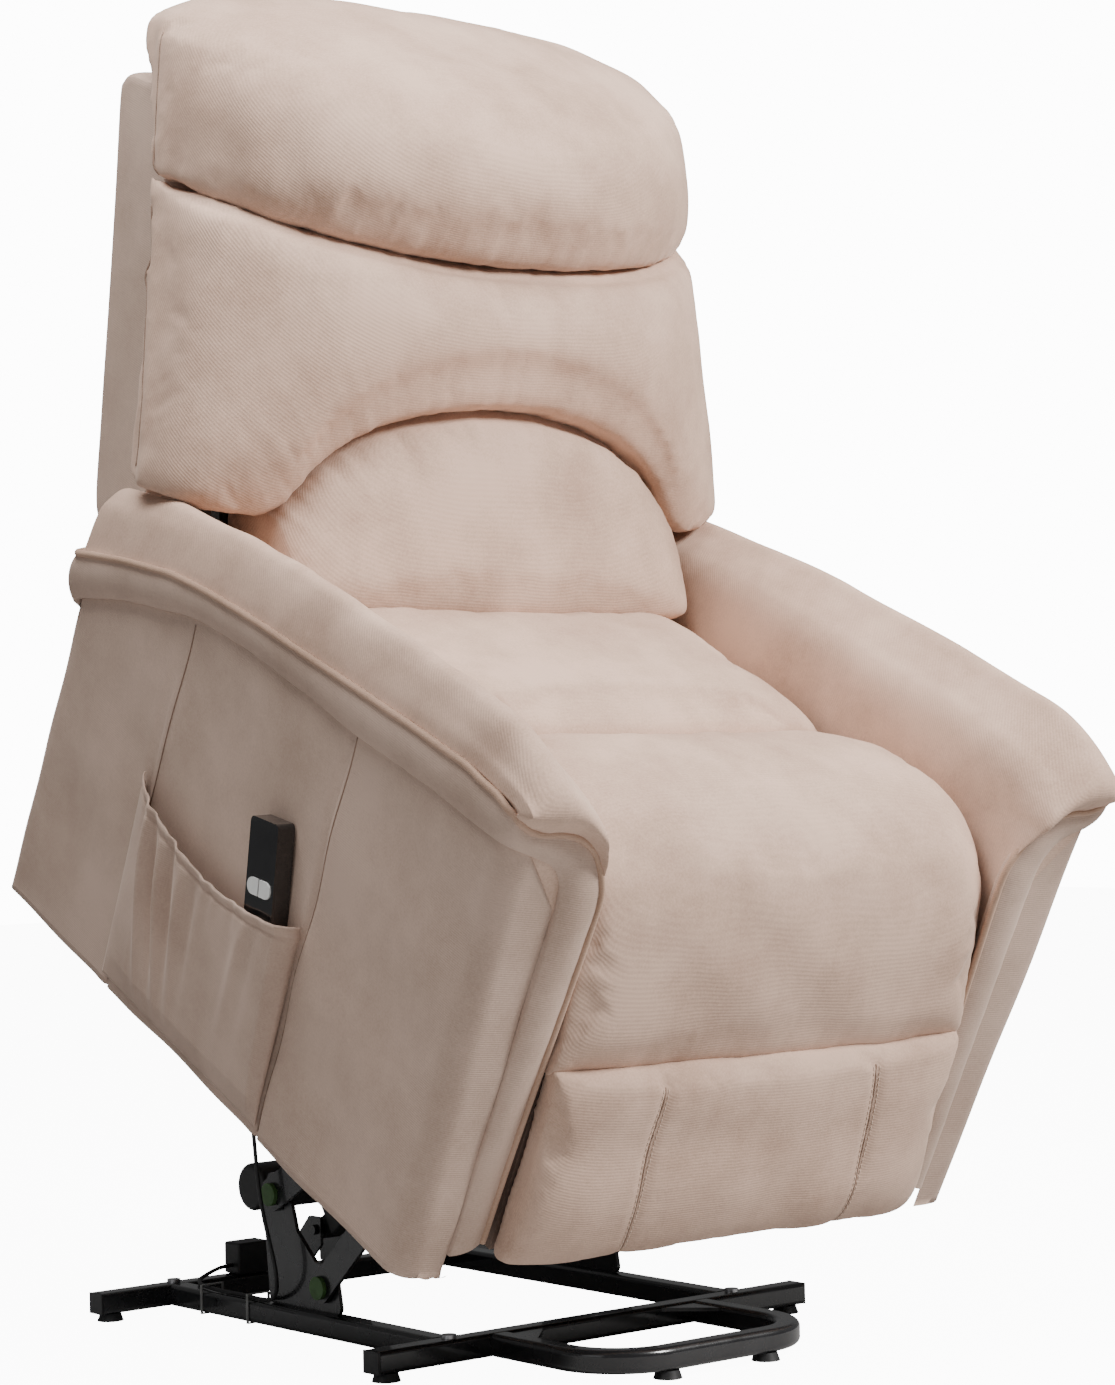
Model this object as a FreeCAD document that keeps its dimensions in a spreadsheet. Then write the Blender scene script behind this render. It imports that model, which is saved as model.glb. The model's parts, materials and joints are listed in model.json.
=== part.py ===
import FreeCAD, Part
import math
import os
from FreeCAD import Placement, Rotation, Vector

# Lift recliner chair, raised and tilted forward on its steel base.
#
# Millimetres, +Z up, the chair faces -Y and +X is the sitter's left.  The origin lies on the floor under
# the middle of the chair.  Everything that rises with the seat is drawn level in the seat frame, whose
# origin is the lower front corner of the arms, and is placed by SEAT.  The back, the footrest and the
# handset are drawn in that same frame.

os.makedirs("parts", exist_ok=True)
doc = FreeCAD.newDocument("LiftReclinerChair")

# ---------------------------------------------------------------- driving dimensions

DIMENSIONS = {
    # base
    "base_tube_width": 28, "base_tube_height": 25, "tube_wall": 2, "foot_height": 9, "foot_radius": 15.5,
    "front_tube_length": 609, "rear_tube_length": 619, "rail_centre_x": 204,
    "front_tube_y": -82, "rear_tube_y": 454, "stabilizer_half_width": 145, "stabilizer_front_y": -281,
    "stabilizer_bend": 75, "plate_thickness": 5, "bolt_radius": 5, "pin_radius": 6,
    # lift linkage, side view
    "front_pivot_y": 142, "front_pivot_z": 63, "rear_pivot_y": 234, "rear_pivot_z": 159,
    "front_link_seat_y": 190, "front_link_seat_z": 10, "rear_link_seat_y": 230.9, "rear_link_seat_z": 70,
    "link_half_width": 17, "bracket_x": 200, "link_x": 207, "mechanism_x": 214,
    # actuator
    "actuator_pivot_y": 420, "actuator_pivot_z": 80, "actuator_seat_y": 300, "actuator_seat_z": 70,
    "motor_radius": 28, "actuator_tube_radius": 19, "actuator_rod_radius": 10,
    # seat frame placement when raised
    "seat_y": -219.3, "seat_z": 145, "seat_tilt": 27.07,
    # arms
    "arm_bottom_half": 392, "arm_flare": 2.2, "arm_inner_half": 300, "arm_depth": 803,
    "panel_thickness": 18, "arm_cap_bottom": 482, "pocket_rear_y": 579, "pocket_front_y": 242,
    "pocket_depth": 26, "pocket_wall": 2.5,
    # seat
    "seat_half": 283, "seat_deck_z": 262, "seat_top_z": 455, "seat_rear_y": 572, "bolster_seam_y": 265,
    # back
    "back_hinge_y": 610, "back_hinge_z": 330, "back_half": 392, "shell_half": 345, "back_board_half": 280,
    "board_thickness": 18,
    # footrest
    "foot_pivot_y": 60, "foot_pivot_z": 225, "knee_y": 150, "knee_z": 70, "foot_board_y": 0,
    "foot_board_z": 90, "foot_half": 286, "foot_link_half_width": 11,
    # handset
    "handset_width": 51, "handset_length": 150, "handset_thickness": 21, "handset_y": 290,
    "handset_bottom_z": 190, "handset_lean": -14,
}

sheet = doc.addObject("Spreadsheet::Sheet", "Dimensions")
for row, (alias, value) in enumerate(DIMENSIONS.items(), start=1):
    sheet.set(f"A{row}", alias)
    sheet.set(f"B{row}", str(value))
    sheet.setAlias(f"B{row}", alias)
doc.recompute()


def dim(alias):
    """The value of a driving dimension."""
    return float(getattr(sheet, alias))


LEVEL = Placement()
SEAT = Placement(Vector(0, dim("seat_y"), dim("seat_z")), Rotation(Vector(1, 0, 0), dim("seat_tilt")))
SIDES = (("left", 1), ("right", -1))
RUNNING = 0.06          # radial clearance of a pin in its hole
SUB_PARTS = []


# ---------------------------------------------------------------- ways of making a piece

def keep(obj, label, place=LEVEL):
    """Name a finished sub-part and put it in place, on top of any placement of its own."""
    obj.Label = label
    obj.Placement = place.multiply(obj.Placement)
    SUB_PARTS.append(obj)
    return obj


def bind(obj, **sizes):
    """Bind properties of obj to expressions over the sheet."""
    for name, expression in sizes.items():
        text = str(expression)
        for alias in sorted(DIMENSIONS, key=len, reverse=True):
            text = text.replace(f"#{alias}#", f"Dimensions.{alias}")
        obj.setExpression(name, text)
    return obj


def box(name, length, width, height, at, turn=None):
    """A box with one corner at a point; its sizes are expressions."""
    obj = bind(doc.addObject("Part::Box", name), Length=length, Width=width, Height=height)
    obj.Placement = Placement(Vector(*at), turn or Rotation())
    return obj


def rod(name, radius, height, at, along=(1, 0, 0)):
    """A cylinder that starts at a point and runs along a direction."""
    obj = bind(doc.addObject("Part::Cylinder", name), Radius=radius, Height=height)
    obj.Placement = Placement(Vector(*at), Rotation(Vector(0, 0, 1), Vector(*along)))
    return obj


def fuse(name, *pieces):
    obj = doc.addObject("Part::MultiFuse", name)
    obj.Shapes = list(pieces)
    return obj


def group(name, *pieces):
    """Separate solids that share one node."""
    obj = doc.addObject("Part::Compound", name)
    obj.Links = list(pieces)
    return obj


def cut(name, base, tool):
    obj = doc.addObject("Part::Cut", name)
    obj.Base = base
    obj.Tool = tool
    return obj


def rounded(name, base, radius, keep_edge):
    """Fillet the edges of base that keep_edge accepts."""
    doc.recompute()
    obj = doc.addObject("Part::Fillet", name)
    obj.Base = base
    obj.Edges = [(i, radius, radius) for i, e in enumerate(base.Shape.Edges, start=1) if keep_edge(e)]
    return obj


def rounded_outline(points, radius):
    """Lines and tangent arcs through a closed polygon whose corners are rounded."""
    corners = [Vector(p[0], p[1], 0) for p in points]
    starts, ends, middles = [], [], []
    for i, corner in enumerate(corners):
        before = (corners[i - 1] - corner).normalize()
        after = (corners[(i + 1) % len(corners)] - corner).normalize()
        half = before.getAngle(after) / 2
        back_off = radius / math.tan(half)
        starts.append(corner + before * back_off)
        ends.append(corner + after * back_off)
        inward = (before + after).normalize()
        middles.append(corner + inward * (radius / math.sin(half) - radius))
    shapes = []
    for i in range(len(corners)):
        shapes.append(Part.Arc(starts[i], middles[i], ends[i]))
        shapes.append(Part.LineSegment(ends[i], starts[(i + 1) % len(corners)]))
    return shapes


def straight_outline(points):
    corners = [Vector(p[0], p[1], 0) for p in points]
    return [Part.LineSegment(a, b) for a, b in zip(corners, corners[1:] + corners[:1])]


def padded(name, plane, offset, length, outline, holes=()):
    """A body with one sketch on an origin plane, moved out by offset and padded by length.

    On the YZ plane the sketch's axes are Y and Z; on the XY plane they are X and Y.
    """
    body = doc.addObject("PartDesign::Body", name)
    sketch = body.newObject("Sketcher::SketchObject", name + "_outline")
    origin_plane = [f for f in body.Origin.OriginFeatures if f.Role == plane][0]
    sketch.AttachmentSupport = [(origin_plane, "")]
    sketch.MapMode = "FlatFace"
    sketch.AttachmentOffset = Placement(Vector(0, 0, offset), Rotation())
    for shape in outline:
        sketch.addGeometry(shape, False)
    for (u, v), radius in holes:
        sketch.addGeometry(Part.Circle(Vector(u, v, 0), Vector(0, 0, 1), radius), False)
    pad = body.newObject("PartDesign::Pad", name + "_pad")
    pad.Profile = sketch
    bind(pad, Length=length)
    return body


def plate(name, x, thickness, points, radius=12, holes=()):
    """A flat piece seen from the side, starting at x, with round corners."""
    return padded(name, "YZ_Plane", x, thickness, rounded_outline(points, radius), holes)


def mirrored_start(sign, start, thickness):
    """Where a plate starts so that it covers start..start+thickness on its own side."""
    return start if sign > 0 else -start - thickness


def bar_points(a, b, half):
    """The rectangle of half width half whose round ends are centred on a and b."""
    a, b = Vector(*a, 0), Vector(*b, 0)
    along = (b - a).normalize() * half
    across = Vector(-along.y, along.x, 0)
    return [tuple(p)[:2] for p in (a - along - across, b + along - across, b + along + across,
                                   a - along + across)]


def soft(label, sections, place):
    """A plain closed solid through straight-sided sections, each a list of points."""
    wires = [Part.makePolygon([Vector(*p) for p in points + points[:1]]) for points in sections]
    obj = doc.addObject("Part::Feature", label)
    obj.Shape = Part.makeLoft(wires, True, True)
    return keep(obj, label, place)


def side_block(label, points, half, place):
    """A soft solid of one side outline, from -half to half."""
    return soft(label, [[(x, y, z) for y, z in points] for x in (-half, half)], place)


# ---------------------------------------------------------------- base

FOOT = dim("foot_height")
TUBE_W, TUBE_H = dim("base_tube_width"), dim("base_tube_height")
TUBE_TOP = FOOT + TUBE_H
RAIL_X, FRONT_Y, REAR_Y = dim("rail_centre_x"), dim("front_tube_y"), dim("rear_tube_y")


def along_x(edge):
    return abs(edge.BoundBox.XLength) > 100


def along_y(edge):
    return abs(edge.BoundBox.YLength) > 100


def hollow(name, outer, inner, edges):
    """A rectangular tube with rounded long edges."""
    return cut(name, rounded(name + "_rounded", outer, 5, edges), inner)


def cross_tube(label, length_alias, y):
    half = dim(length_alias) / 2
    wall = dim("tube_wall")
    outer = box(label + "_outer", f"#{length_alias}#", "#base_tube_width#", "#base_tube_height#",
                (-half, y - TUBE_W / 2, FOOT))
    inner = box(label + "_inner", f"#{length_alias}# + 2", "#base_tube_width# - 2 * #tube_wall#",
                "#base_tube_height# - 2 * #tube_wall#", (-half - 1, y - TUBE_W / 2 + wall, FOOT + wall))
    keep(hollow(label, outer, inner, along_x), label)


cross_tube("front_cross_tube", "front_tube_length", FRONT_Y)
cross_tube("rear_cross_tube", "rear_tube_length", REAR_Y)

RAIL_START = FRONT_Y + TUBE_W / 2
for side, sign in SIDES:
    outer = box(side + "_rail_outer", "#base_tube_width#", "#rear_tube_y# - #front_tube_y# - #base_tube_width#",
                "#base_tube_height#", (sign * RAIL_X - TUBE_W / 2, RAIL_START, FOOT))
    inner = box(side + "_rail_inner", "#base_tube_width# - 2 * #tube_wall#", "#rear_tube_y# - #front_tube_y#",
                "#base_tube_height# - 2 * #tube_wall#",
                (sign * RAIL_X - TUBE_W / 2 + dim("tube_wall"), RAIL_START - 10, FOOT + dim("tube_wall")))
    keep(hollow(side + "_side_rail", outer, inner, along_y), side + "_side_rail")


def u_outline(half, front, rear, bend):
    """A U in plan, open to the rear: two arms, two bends and a front run, as edges of one side."""
    arc = bend * math.sin(math.radians(45))
    left = Part.Arc(Vector(-half, front + bend, 0), Vector(-half + bend - arc, front + bend - arc, 0),
                    Vector(-half + bend, front, 0))
    right = Part.Arc(Vector(half - bend, front, 0), Vector(half - bend + arc, front + bend - arc, 0),
                     Vector(half, front + bend, 0))
    return [Part.LineSegment(Vector(-half, rear, 0), Vector(-half, front + bend, 0)), left,
            Part.LineSegment(Vector(-half + bend, front, 0), Vector(half - bend, front, 0)), right,
            Part.LineSegment(Vector(half, front + bend, 0), Vector(half, rear, 0))]


STAB_HALF, STAB_Y, BEND = dim("stabilizer_half_width"), dim("stabilizer_front_y"), dim("stabilizer_bend")
STAB_REAR = FRONT_Y - TUBE_W / 2
outer_u = u_outline(STAB_HALF + TUBE_W / 2, STAB_Y - TUBE_W / 2, STAB_REAR, BEND + TUBE_W / 2)
inner_u = u_outline(STAB_HALF - TUBE_W / 2, STAB_Y + TUBE_W / 2, STAB_REAR, BEND - TUBE_W / 2)
ends = [Part.LineSegment(Vector(s * (STAB_HALF - TUBE_W / 2), STAB_REAR, 0),
                         Vector(s * (STAB_HALF + TUBE_W / 2), STAB_REAR, 0)) for s in (1, -1)]
stabilizer = padded("stabilizer_solid", "XY_Plane", FOOT, "#base_tube_height#", outer_u + inner_u + ends)
keep(rounded("stabilizer_bar", stabilizer, 7, lambda e: abs(e.BoundBox.ZLength) < 1 and e.Length > 40),
     "stabilizer_bar")

GUSSET = 46
gussets = []
for side, sign in SIDES:
    edge_x = sign * (STAB_HALF - TUBE_W / 2 - 0.1)
    corner = [(edge_x, STAB_REAR - 0.1), (edge_x - sign * GUSSET, STAB_REAR - 0.1), (edge_x, STAB_REAR - GUSSET)]
    gussets.append(padded(side + "_gusset", "XY_Plane", FOOT + TUBE_H - 6, "4", straight_outline(corner)))
keep(group("stabilizer_gussets", *gussets), "stabilizer_gussets")

caps = []
for label, length_alias, y in (("front", "front_tube_length", FRONT_Y), ("rear", "rear_tube_length", REAR_Y)):
    for side, sign in SIDES:
        start = sign * dim(length_alias) / 2 + (0.05 if sign > 0 else -3.05)
        lid = box(f"{label}_{side}_cap", "3", "#base_tube_width# - 1", "#base_tube_height# - 1",
                  (start, y - TUBE_W / 2 + 0.5, FOOT + 0.5))
        caps.append(lid)
keep(group("tube_end_caps", *caps), "tube_end_caps")

FOOT_INSET = 17
feet = []
for label, x, y in (("front", dim("front_tube_length") / 2 - FOOT_INSET, FRONT_Y),
                    ("rear", dim("rear_tube_length") / 2 - FOOT_INSET, REAR_Y), ("stabilizer", 70, STAB_Y)):
    for side, sign in SIDES:
        foot = doc.addObject("Part::Cone", f"{label}_{side}_foot")
        bind(foot, Radius1="#foot_radius#", Radius2="#foot_radius# - 3", Height="#foot_height# - 0.05")
        foot.Placement.Base = Vector(sign * x, y, 0)
        feet.append(foot)
keep(group("base_feet", *feet), "base_feet")

A_FRONT = (dim("front_pivot_y"), dim("front_pivot_z"))
A_REAR = (dim("rear_pivot_y"), dim("rear_pivot_z"))
PLATE = dim("plate_thickness")
PIN = dim("pin_radius")
BRACKET_OUTLINE = [(112, TUBE_TOP + 0.1), (250, TUBE_TOP + 0.1), (262, 150), (250, 182), (216, 182),
                   (196, 120), (160, 88), (122, 86)]
brackets = []
for side, sign in SIDES:
    start = mirrored_start(sign, dim("bracket_x"), PLATE)
    brackets.append(plate(side + "_bracket", start, "#plate_thickness#", BRACKET_OUTLINE, 8,
                          [(A_FRONT, PIN + RUNNING), (A_REAR, PIN + RUNNING)]))
keep(group("base_brackets", *brackets), "base_brackets")

bolts = []
for side, sign in SIDES:
    for y in (FRONT_Y, REAR_Y):
        head = rod(f"{side}_rail_bolt", "#bolt_radius# + 3", "4", (sign * RAIL_X, y, TUBE_TOP + 0.1), (0, 0, 1))
        bolts.append(head)
keep(group("base_bolts", *bolts), "base_bolts")


def pin(name, x0, x1, centre, radius="#pin_radius#"):
    """A pin along X from x0 to x1."""
    low, high = min(x0, x1), max(x0, x1)
    return rod(name, radius, f"{high - low:g}", (low, centre[0], centre[1]))


def headed_pins(name, ends_and_centres, head_radius=13):
    """Pins with a flat head on their outer end."""
    solids = []
    for index, (inner, outer, centre) in enumerate(ends_and_centres):
        step = 5 if outer > inner else -5
        shank = pin(f"{name}_{index}_shank", inner, outer, centre)
        head = pin(f"{name}_{index}_head", outer, outer + step, centre, f"{head_radius}")
        solids.append(fuse(f"{name}_{index}", shank, head))
    return group(name, *solids)


# Each base pivot has a bush outside the link, where nothing else runs.
pins = []
for side, sign in SIDES:
    for centre in (A_FRONT, A_REAR):
        pins.append((sign * 195, sign * (dim("link_x") + PLATE + 0.5), centre))
keep(headed_pins("link_pivot_bushings", pins), "link_pivot_bushings")

# The clevis on the rear tube that the actuator pushes back on.
R_PIVOT = (dim("actuator_pivot_y"), dim("actuator_pivot_z"))
ears = []
for side, sign in SIDES:
    ear = plate(side + "_clevis_ear", mirrored_start(sign, 18, 4), "4",
                [(408, 62), (440, TUBE_TOP + 0.1), (467, TUBE_TOP + 0.1), (467, 60), (432, 96), (408, 96)], 4,
                [(R_PIVOT, PIN + RUNNING)])
    ears.append(ear)
clevis_pin = pin("clevis_pin", -26, 26, R_PIVOT)
keep(group("actuator_clevis", *ears, clevis_pin), "actuator_clevis")

power_box = box("power_box_solid", "45", "32", "38", (-122, REAR_Y - 17, TUBE_TOP + 0.2))
keep(rounded("power_box", power_box, 3, lambda e: True), "power_box")

# ---------------------------------------------------------------- lift links


def on_seat(point):
    """Where a point of the seat frame (y, z) lies when the chair is raised."""
    world = SEAT.multVec(Vector(0, point[0], point[1]))
    return (world.y, world.z)


B_FRONT = (dim("front_link_seat_y"), dim("front_link_seat_z"))
B_REAR = (dim("rear_link_seat_y"), dim("rear_link_seat_z"))
HALF = dim("link_half_width")
REAR_LINK_CLEARANCE = 7.5      # the upper hole of the rear link is opened by this much
TORQUE_TUBE_AT = 130           # along the front link from its lower pivot
seat_front, seat_rear = on_seat(B_FRONT), on_seat(B_REAR)
for side, sign in SIDES:
    start = mirrored_start(sign, dim("link_x"), PLATE)
    front = plate(side + "_front_link", start, "#plate_thickness#", bar_points(A_FRONT, seat_front, HALF),
                  HALF * 0.9, [(A_FRONT, PIN + RUNNING), (seat_front, PIN + RUNNING)])
    keep(front, side + "_front_link")
    rear = plate(side + "_rear_link", start, "#plate_thickness#", bar_points(A_REAR, seat_rear, HALF + 2),
                 HALF * 0.95, [(A_REAR, PIN + RUNNING), (seat_rear, PIN + REAR_LINK_CLEARANCE)])
    keep(rear, side + "_rear_link")

link_way = Vector(seat_front[0] - A_FRONT[0], seat_front[1] - A_FRONT[1], 0).normalize()
tube_y = A_FRONT[0] + link_way.x * TORQUE_TUBE_AT
tube_z = A_FRONT[1] + link_way.y * TORQUE_TUBE_AT
keep(rod("lift_torque_tube", "11", "2 * #link_x# - 0.1", (-dim("link_x") + 0.05, tube_y, tube_z)),
     "lift_torque_tube")

# ---------------------------------------------------------------- actuator, drawn along its own line

EYE_ON_SEAT = (dim("actuator_seat_y"), dim("actuator_seat_z"))
eye = on_seat(EYE_ON_SEAT)
reach = math.hypot(eye[0] - R_PIVOT[0], eye[1] - R_PIVOT[1])
push_way = Vector(0, eye[0] - R_PIVOT[0], eye[1] - R_PIVOT[1]).normalize()
ACTUATOR = Placement(Vector(0, *R_PIVOT), Rotation(Vector(0, 1, 0), push_way))

GEAR_HALF, GEAR_START, GEAR_LENGTH, GEAR_HEIGHT, GEAR_BELOW = 17, 22, 90, 56, 36
EYE_HALF = 12                  # half the width, and the radius, of the gearbox's eye
gear_block = box("gear_block", f"{2 * GEAR_HALF}", f"{GEAR_LENGTH}", f"{GEAR_HEIGHT}",
                 (-GEAR_HALF, GEAR_START, -GEAR_BELOW))
gear_neck = box("gear_neck", f"{2 * EYE_HALF}", f"{GEAR_START + 2}", f"{2 * EYE_HALF}", (-EYE_HALF, -2, -EYE_HALF))
gear_eye = rod("gear_eye", f"{EYE_HALF}", f"{2 * EYE_HALF}", (-EYE_HALF, 0, 0))
gear_hole = rod("gear_hole", f"#pin_radius# + {RUNNING}", f"{2 * GEAR_HALF}", (-GEAR_HALF, 0, 0))
gear_body = rounded("gear_body", fuse("gear_solid", gear_block, gear_neck, gear_eye), 4,
                    lambda e: abs(e.Length - GEAR_LENGTH) < 1)
keep(cut("actuator_gearbox", gear_body, gear_hole), "actuator_gearbox", ACTUATOR)
MOTOR_AT, MOTOR_LENGTH = (80, -30), 133
MOTOR_END = -GEAR_HALF - 0.1 - MOTOR_LENGTH
motor = rod("motor_can", "#motor_radius#", f"{MOTOR_LENGTH}", (MOTOR_END, *MOTOR_AT))
keep(rounded("actuator_motor", motor, 6, lambda e: abs(e.CenterOfMass.x - MOTOR_END) < 1), "actuator_motor", ACTUATOR)
TUBE_START, TUBE_LENGTH, TUBE_FLOOR = GEAR_START + GEAR_LENGTH + 0.1, 250, 4
tube_outer = rod("tube_outer", "#actuator_tube_radius#", f"{TUBE_LENGTH}", (0, TUBE_START, 0), (0, 1, 0))
tube_bore = rod("tube_bore", f"#actuator_rod_radius# + {RUNNING}", f"{TUBE_LENGTH}",
                (0, TUBE_START + TUBE_FLOOR, 0), (0, 1, 0))
keep(cut("actuator_outer_tube", tube_outer, tube_bore), "actuator_outer_tube", ACTUATOR)
ROD_START, ROD_EYE, CROSS_PIN = 180, 13, 26
shaft = rod("shaft", "#actuator_rod_radius#", f"{reach - ROD_START - 8:.3f}", (0, ROD_START, 0), (0, 1, 0))
shaft_eye = rod("shaft_eye", f"{ROD_EYE}", "20", (-10, reach, 0))
cross_pin = pin("rod_cross_pin", -CROSS_PIN, CROSS_PIN, (reach, 0))
keep(fuse("actuator_rod", shaft, shaft_eye, cross_pin), "actuator_rod", ACTUATOR)

# ---------------------------------------------------------------- seat mechanism

HINGE = (dim("back_hinge_y"), dim("back_hinge_z"))
C_FOOT = (dim("foot_pivot_y"), dim("foot_pivot_z"))
MECHANISM_OUTLINE = [(36, 200), (36, 252), (575, 252), (588, 350), (632, 350), (650, 300), (648, 205),
                     (430, 135), (262, 48), (214, -6), (168, -6), (160, 60), (110, 190)]
for side, sign in SIDES:
    start = mirrored_start(sign, dim("mechanism_x"), PLATE)
    mechanism = plate(side + "_mechanism_plate", start, "#plate_thickness#", MECHANISM_OUTLINE, 6,
                      [(c, PIN + RUNNING) for c in (B_FRONT, B_REAR, HINGE, C_FOOT)])
    keep(mechanism, side + "_mechanism_plate", SEAT)

MECH_IN = dim("mechanism_x") - 0.05
DRIVE_TUBE = (320, 148)
drive_tube = rod("drive_tube", "15", f"{2 * MECH_IN:g}", (-MECH_IN, *DRIVE_TUBE))
drive_ears = []
EYE_CLEARANCE = 10.5           # the clevis holes for the rod's pin are opened by this much
eye_y, eye_z = EYE_ON_SEAT
EAR_OUTLINE = [(eye_y - 24, eye_z - 24), (eye_y + 24, eye_z - 24), (345, 140), (345, 160), (300, 160),
               (eye_y - 24, eye_z + 30)]
for side, sign in SIDES:
    drive_ears.append(plate(side + "_drive_ear", mirrored_start(sign, 14, 5), "5", EAR_OUTLINE, 6,
                            [(EYE_ON_SEAT, PIN + EYE_CLEARANCE)]))
keep(fuse("lift_drive_tube", drive_tube, *drive_ears), "lift_drive_tube", SEAT)

RAIL = 24
cross_rails = [box(f"{name}_cross_rail", f"{2 * MECH_IN:g}", f"{RAIL}", f"{RAIL}",
                   (-MECH_IN, y, 226)) for name, y in (("front", 84), ("rear", 606))]
keep(group("seat_cross_rails", *cross_rails), "seat_cross_rails", SEAT)
side_rails = [box(f"{side}_seat_board", "22", "600", "70",
                  (254 if sign > 0 else -276, 40, 184)) for side, sign in SIDES]
keep(group("seat_side_boards", *side_rails), "seat_side_boards", SEAT)

seat_pins = []
for side, sign in SIDES:
    x_link, x_out = sign * (dim("link_x") - 3), sign * (dim("mechanism_x") + PLATE + 0.3)
    seat_pins += [(x_link, x_out, B_FRONT), (x_link, x_out, B_REAR)]
    seat_pins.append((sign * 212, sign * 228, HINGE))
    seat_pins.append((sign * 212, sign * 226.5, C_FOOT))
keep(headed_pins("mechanism_pins", seat_pins, 9), "mechanism_pins", SEAT)

straps = [box(f"strap_{i}", "#seat_half# * 2 - 10", "50", "2.5",
              (-dim("seat_half") + 5, 115 + 80 * i, 254.6)) for i in range(6)]
keep(group("seat_webbing", *straps), "seat_webbing", SEAT)

# ---------------------------------------------------------------- arms

ARM_IN, ARM_OUT, PANEL = dim("arm_inner_half"), dim("arm_bottom_half"), dim("panel_thickness")
CAP_Z = dim("arm_cap_bottom")
SIDE_OUTLINE = [(1, 0), (dim("arm_depth"), 3), (780, 378), (686, 414), (550, 458), (444, 470), (12, 476)]
for side, sign in SIDES:
    flare = Placement(Vector(sign * ARM_OUT, 0, 0), Rotation(Vector(0, 1, 0), sign * dim("arm_flare")))
    outer = padded(side + "_side_panel", "YZ_Plane", mirrored_start(sign, -PANEL, PANEL), "#panel_thickness#",
                   straight_outline(SIDE_OUTLINE))
    outer.Placement = flare
    keep(outer, side + "_side_panel", SEAT)
    inner = padded(side + "_inner_panel", "YZ_Plane", mirrored_start(sign, ARM_IN, PANEL), "#panel_thickness#",
                   straight_outline([(1, 8), (783, 10), (778, 380), (686, 414), (550, 458), (444, 470), (1, 476)]))
    keep(inner, side + "_inner_panel", SEAT)


def arm_section(sign, y, bottom, crown, top, narrow=0):
    """Across the arm pad: upright inside, sloping up and out to a rounded outer lip."""
    outline = [(ARM_IN + 2, bottom), (ARM_IN + 14, crown - 22), (338, crown), (392, top), (408, top - 6),
               (420 - narrow, top - 34), (418 - narrow, bottom)]
    return [(sign * x, y, z) for x, z in outline]


# y, underside, inner crown and outer top of the arm pad, front to back
ARM_STATIONS = ((1, 483, 545, 584), (100, 483, 549, 589), (300, 477, 545, 582), (450, 474, 540, 576),
                (560, 460, 532, 563), (686, 420, 514, 544), (777, 386, 490, 511))
for side, sign in SIDES:
    sections = [arm_section(sign, y, *heights) for y, *heights in ARM_STATIONS]
    soft(side + "_arm_cap", sections, SEAT)


def front_outline(sign, y):
    """The arm's front face: a post that flares out into the round end of the pad."""
    outline = [(300, 6), (392, 2), (404, 380), (421, 505), (421, 545), (400, 583), (376, 572), (338, 544),
               (306, 500), (296, 440)]
    return [(sign * x, y, z) for x, z in outline]


for side, sign in SIDES:
    soft(side + "_arm_front", [front_outline(sign, -27), front_outline(sign, 0)], SEAT)

# The pocket hangs on the sitter's right panel, open at the top.
POCKET_IN = -ARM_OUT - 8.5
PUFF = dim("pocket_depth")


def pocket_plan(grow, z):
    """The pocket seen from above at height z; it is fullest in the middle."""
    lean = (z - 120) * math.tan(math.radians(dim("arm_flare")))
    y0, y1 = dim("pocket_front_y") - grow, dim("pocket_rear_y") + grow
    x0, x1 = POCKET_IN + 4.5 - lean - 3.2, POCKET_IN - PUFF - grow
    return [(x0, y0, z), (x0, y1, z), (x1 + 9, y1 - 12, z), (x1, y1 - 60, z), (x1, y0 + 34, z), (x1 + 9, y0 + 8, z)]


def pocket_loft(name, grow, low, high):
    obj = doc.addObject("Part::Feature", name)
    obj.Shape = Part.makeLoft([Part.makePolygon([Vector(*p) for p in s + s[:1]])
                               for s in (pocket_plan(grow, low), pocket_plan(grow, high))], True, True)
    return obj


pocket_outer = pocket_loft("pocket_outer", dim("pocket_wall"), 12, 232)
pocket_space = pocket_loft("pocket_space", -0.1, 16, 240)
keep(cut("side_pocket", pocket_outer, pocket_space), "side_pocket", SEAT)

rear_panel = box("rear_panel", "2 * #arm_inner_half# - 2", "14", "290", (-ARM_IN + 1, 786, 12))
keep(rear_panel, "rear_panel", SEAT)
FLAP = [(788, 303), (796, 303), (872, 432), (864, 432)]
side_block("rear_flap", FLAP, 270, SEAT)

# ---------------------------------------------------------------- seat cushions

SEAT_HALF, SEAT_REAR, SEAM = dim("seat_half"), dim("seat_rear_y"), dim("bolster_seam_y")
DECK, SEAT_TOP = dim("seat_deck_z"), dim("seat_top_z")
side_block("seat_cushion", [(SEAM + 0.5, DECK), (SEAT_REAR, DECK), (SEAT_REAR, SEAT_TOP - 10), (500, SEAT_TOP),
                            (SEAM + 0.5, SEAT_TOP + 3)], SEAT_HALF, SEAT)
side_block("seat_bolster", [(-34, 240), (20, 240), (34, DECK), (SEAM, DECK), (SEAM, SEAT_TOP + 6), (140, 474),
                            (46, 468), (-8, 446), (-36, 410), (-42, 350)], SEAT_HALF, SEAT)

# ---------------------------------------------------------------- back

BACK_HALF, SHELL_HALF, BOARD_HALF = dim("back_half"), dim("shell_half"), dim("back_board_half")
BOARD = dim("board_thickness")


def cushion_rear(z):
    """The line that the back cushions rest on."""
    return 754 + 0.405 * (z - 535)


def shell_rear(z):
    """The outer rear surface of the back."""
    return 896 + 0.341 * (z - 434)


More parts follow.
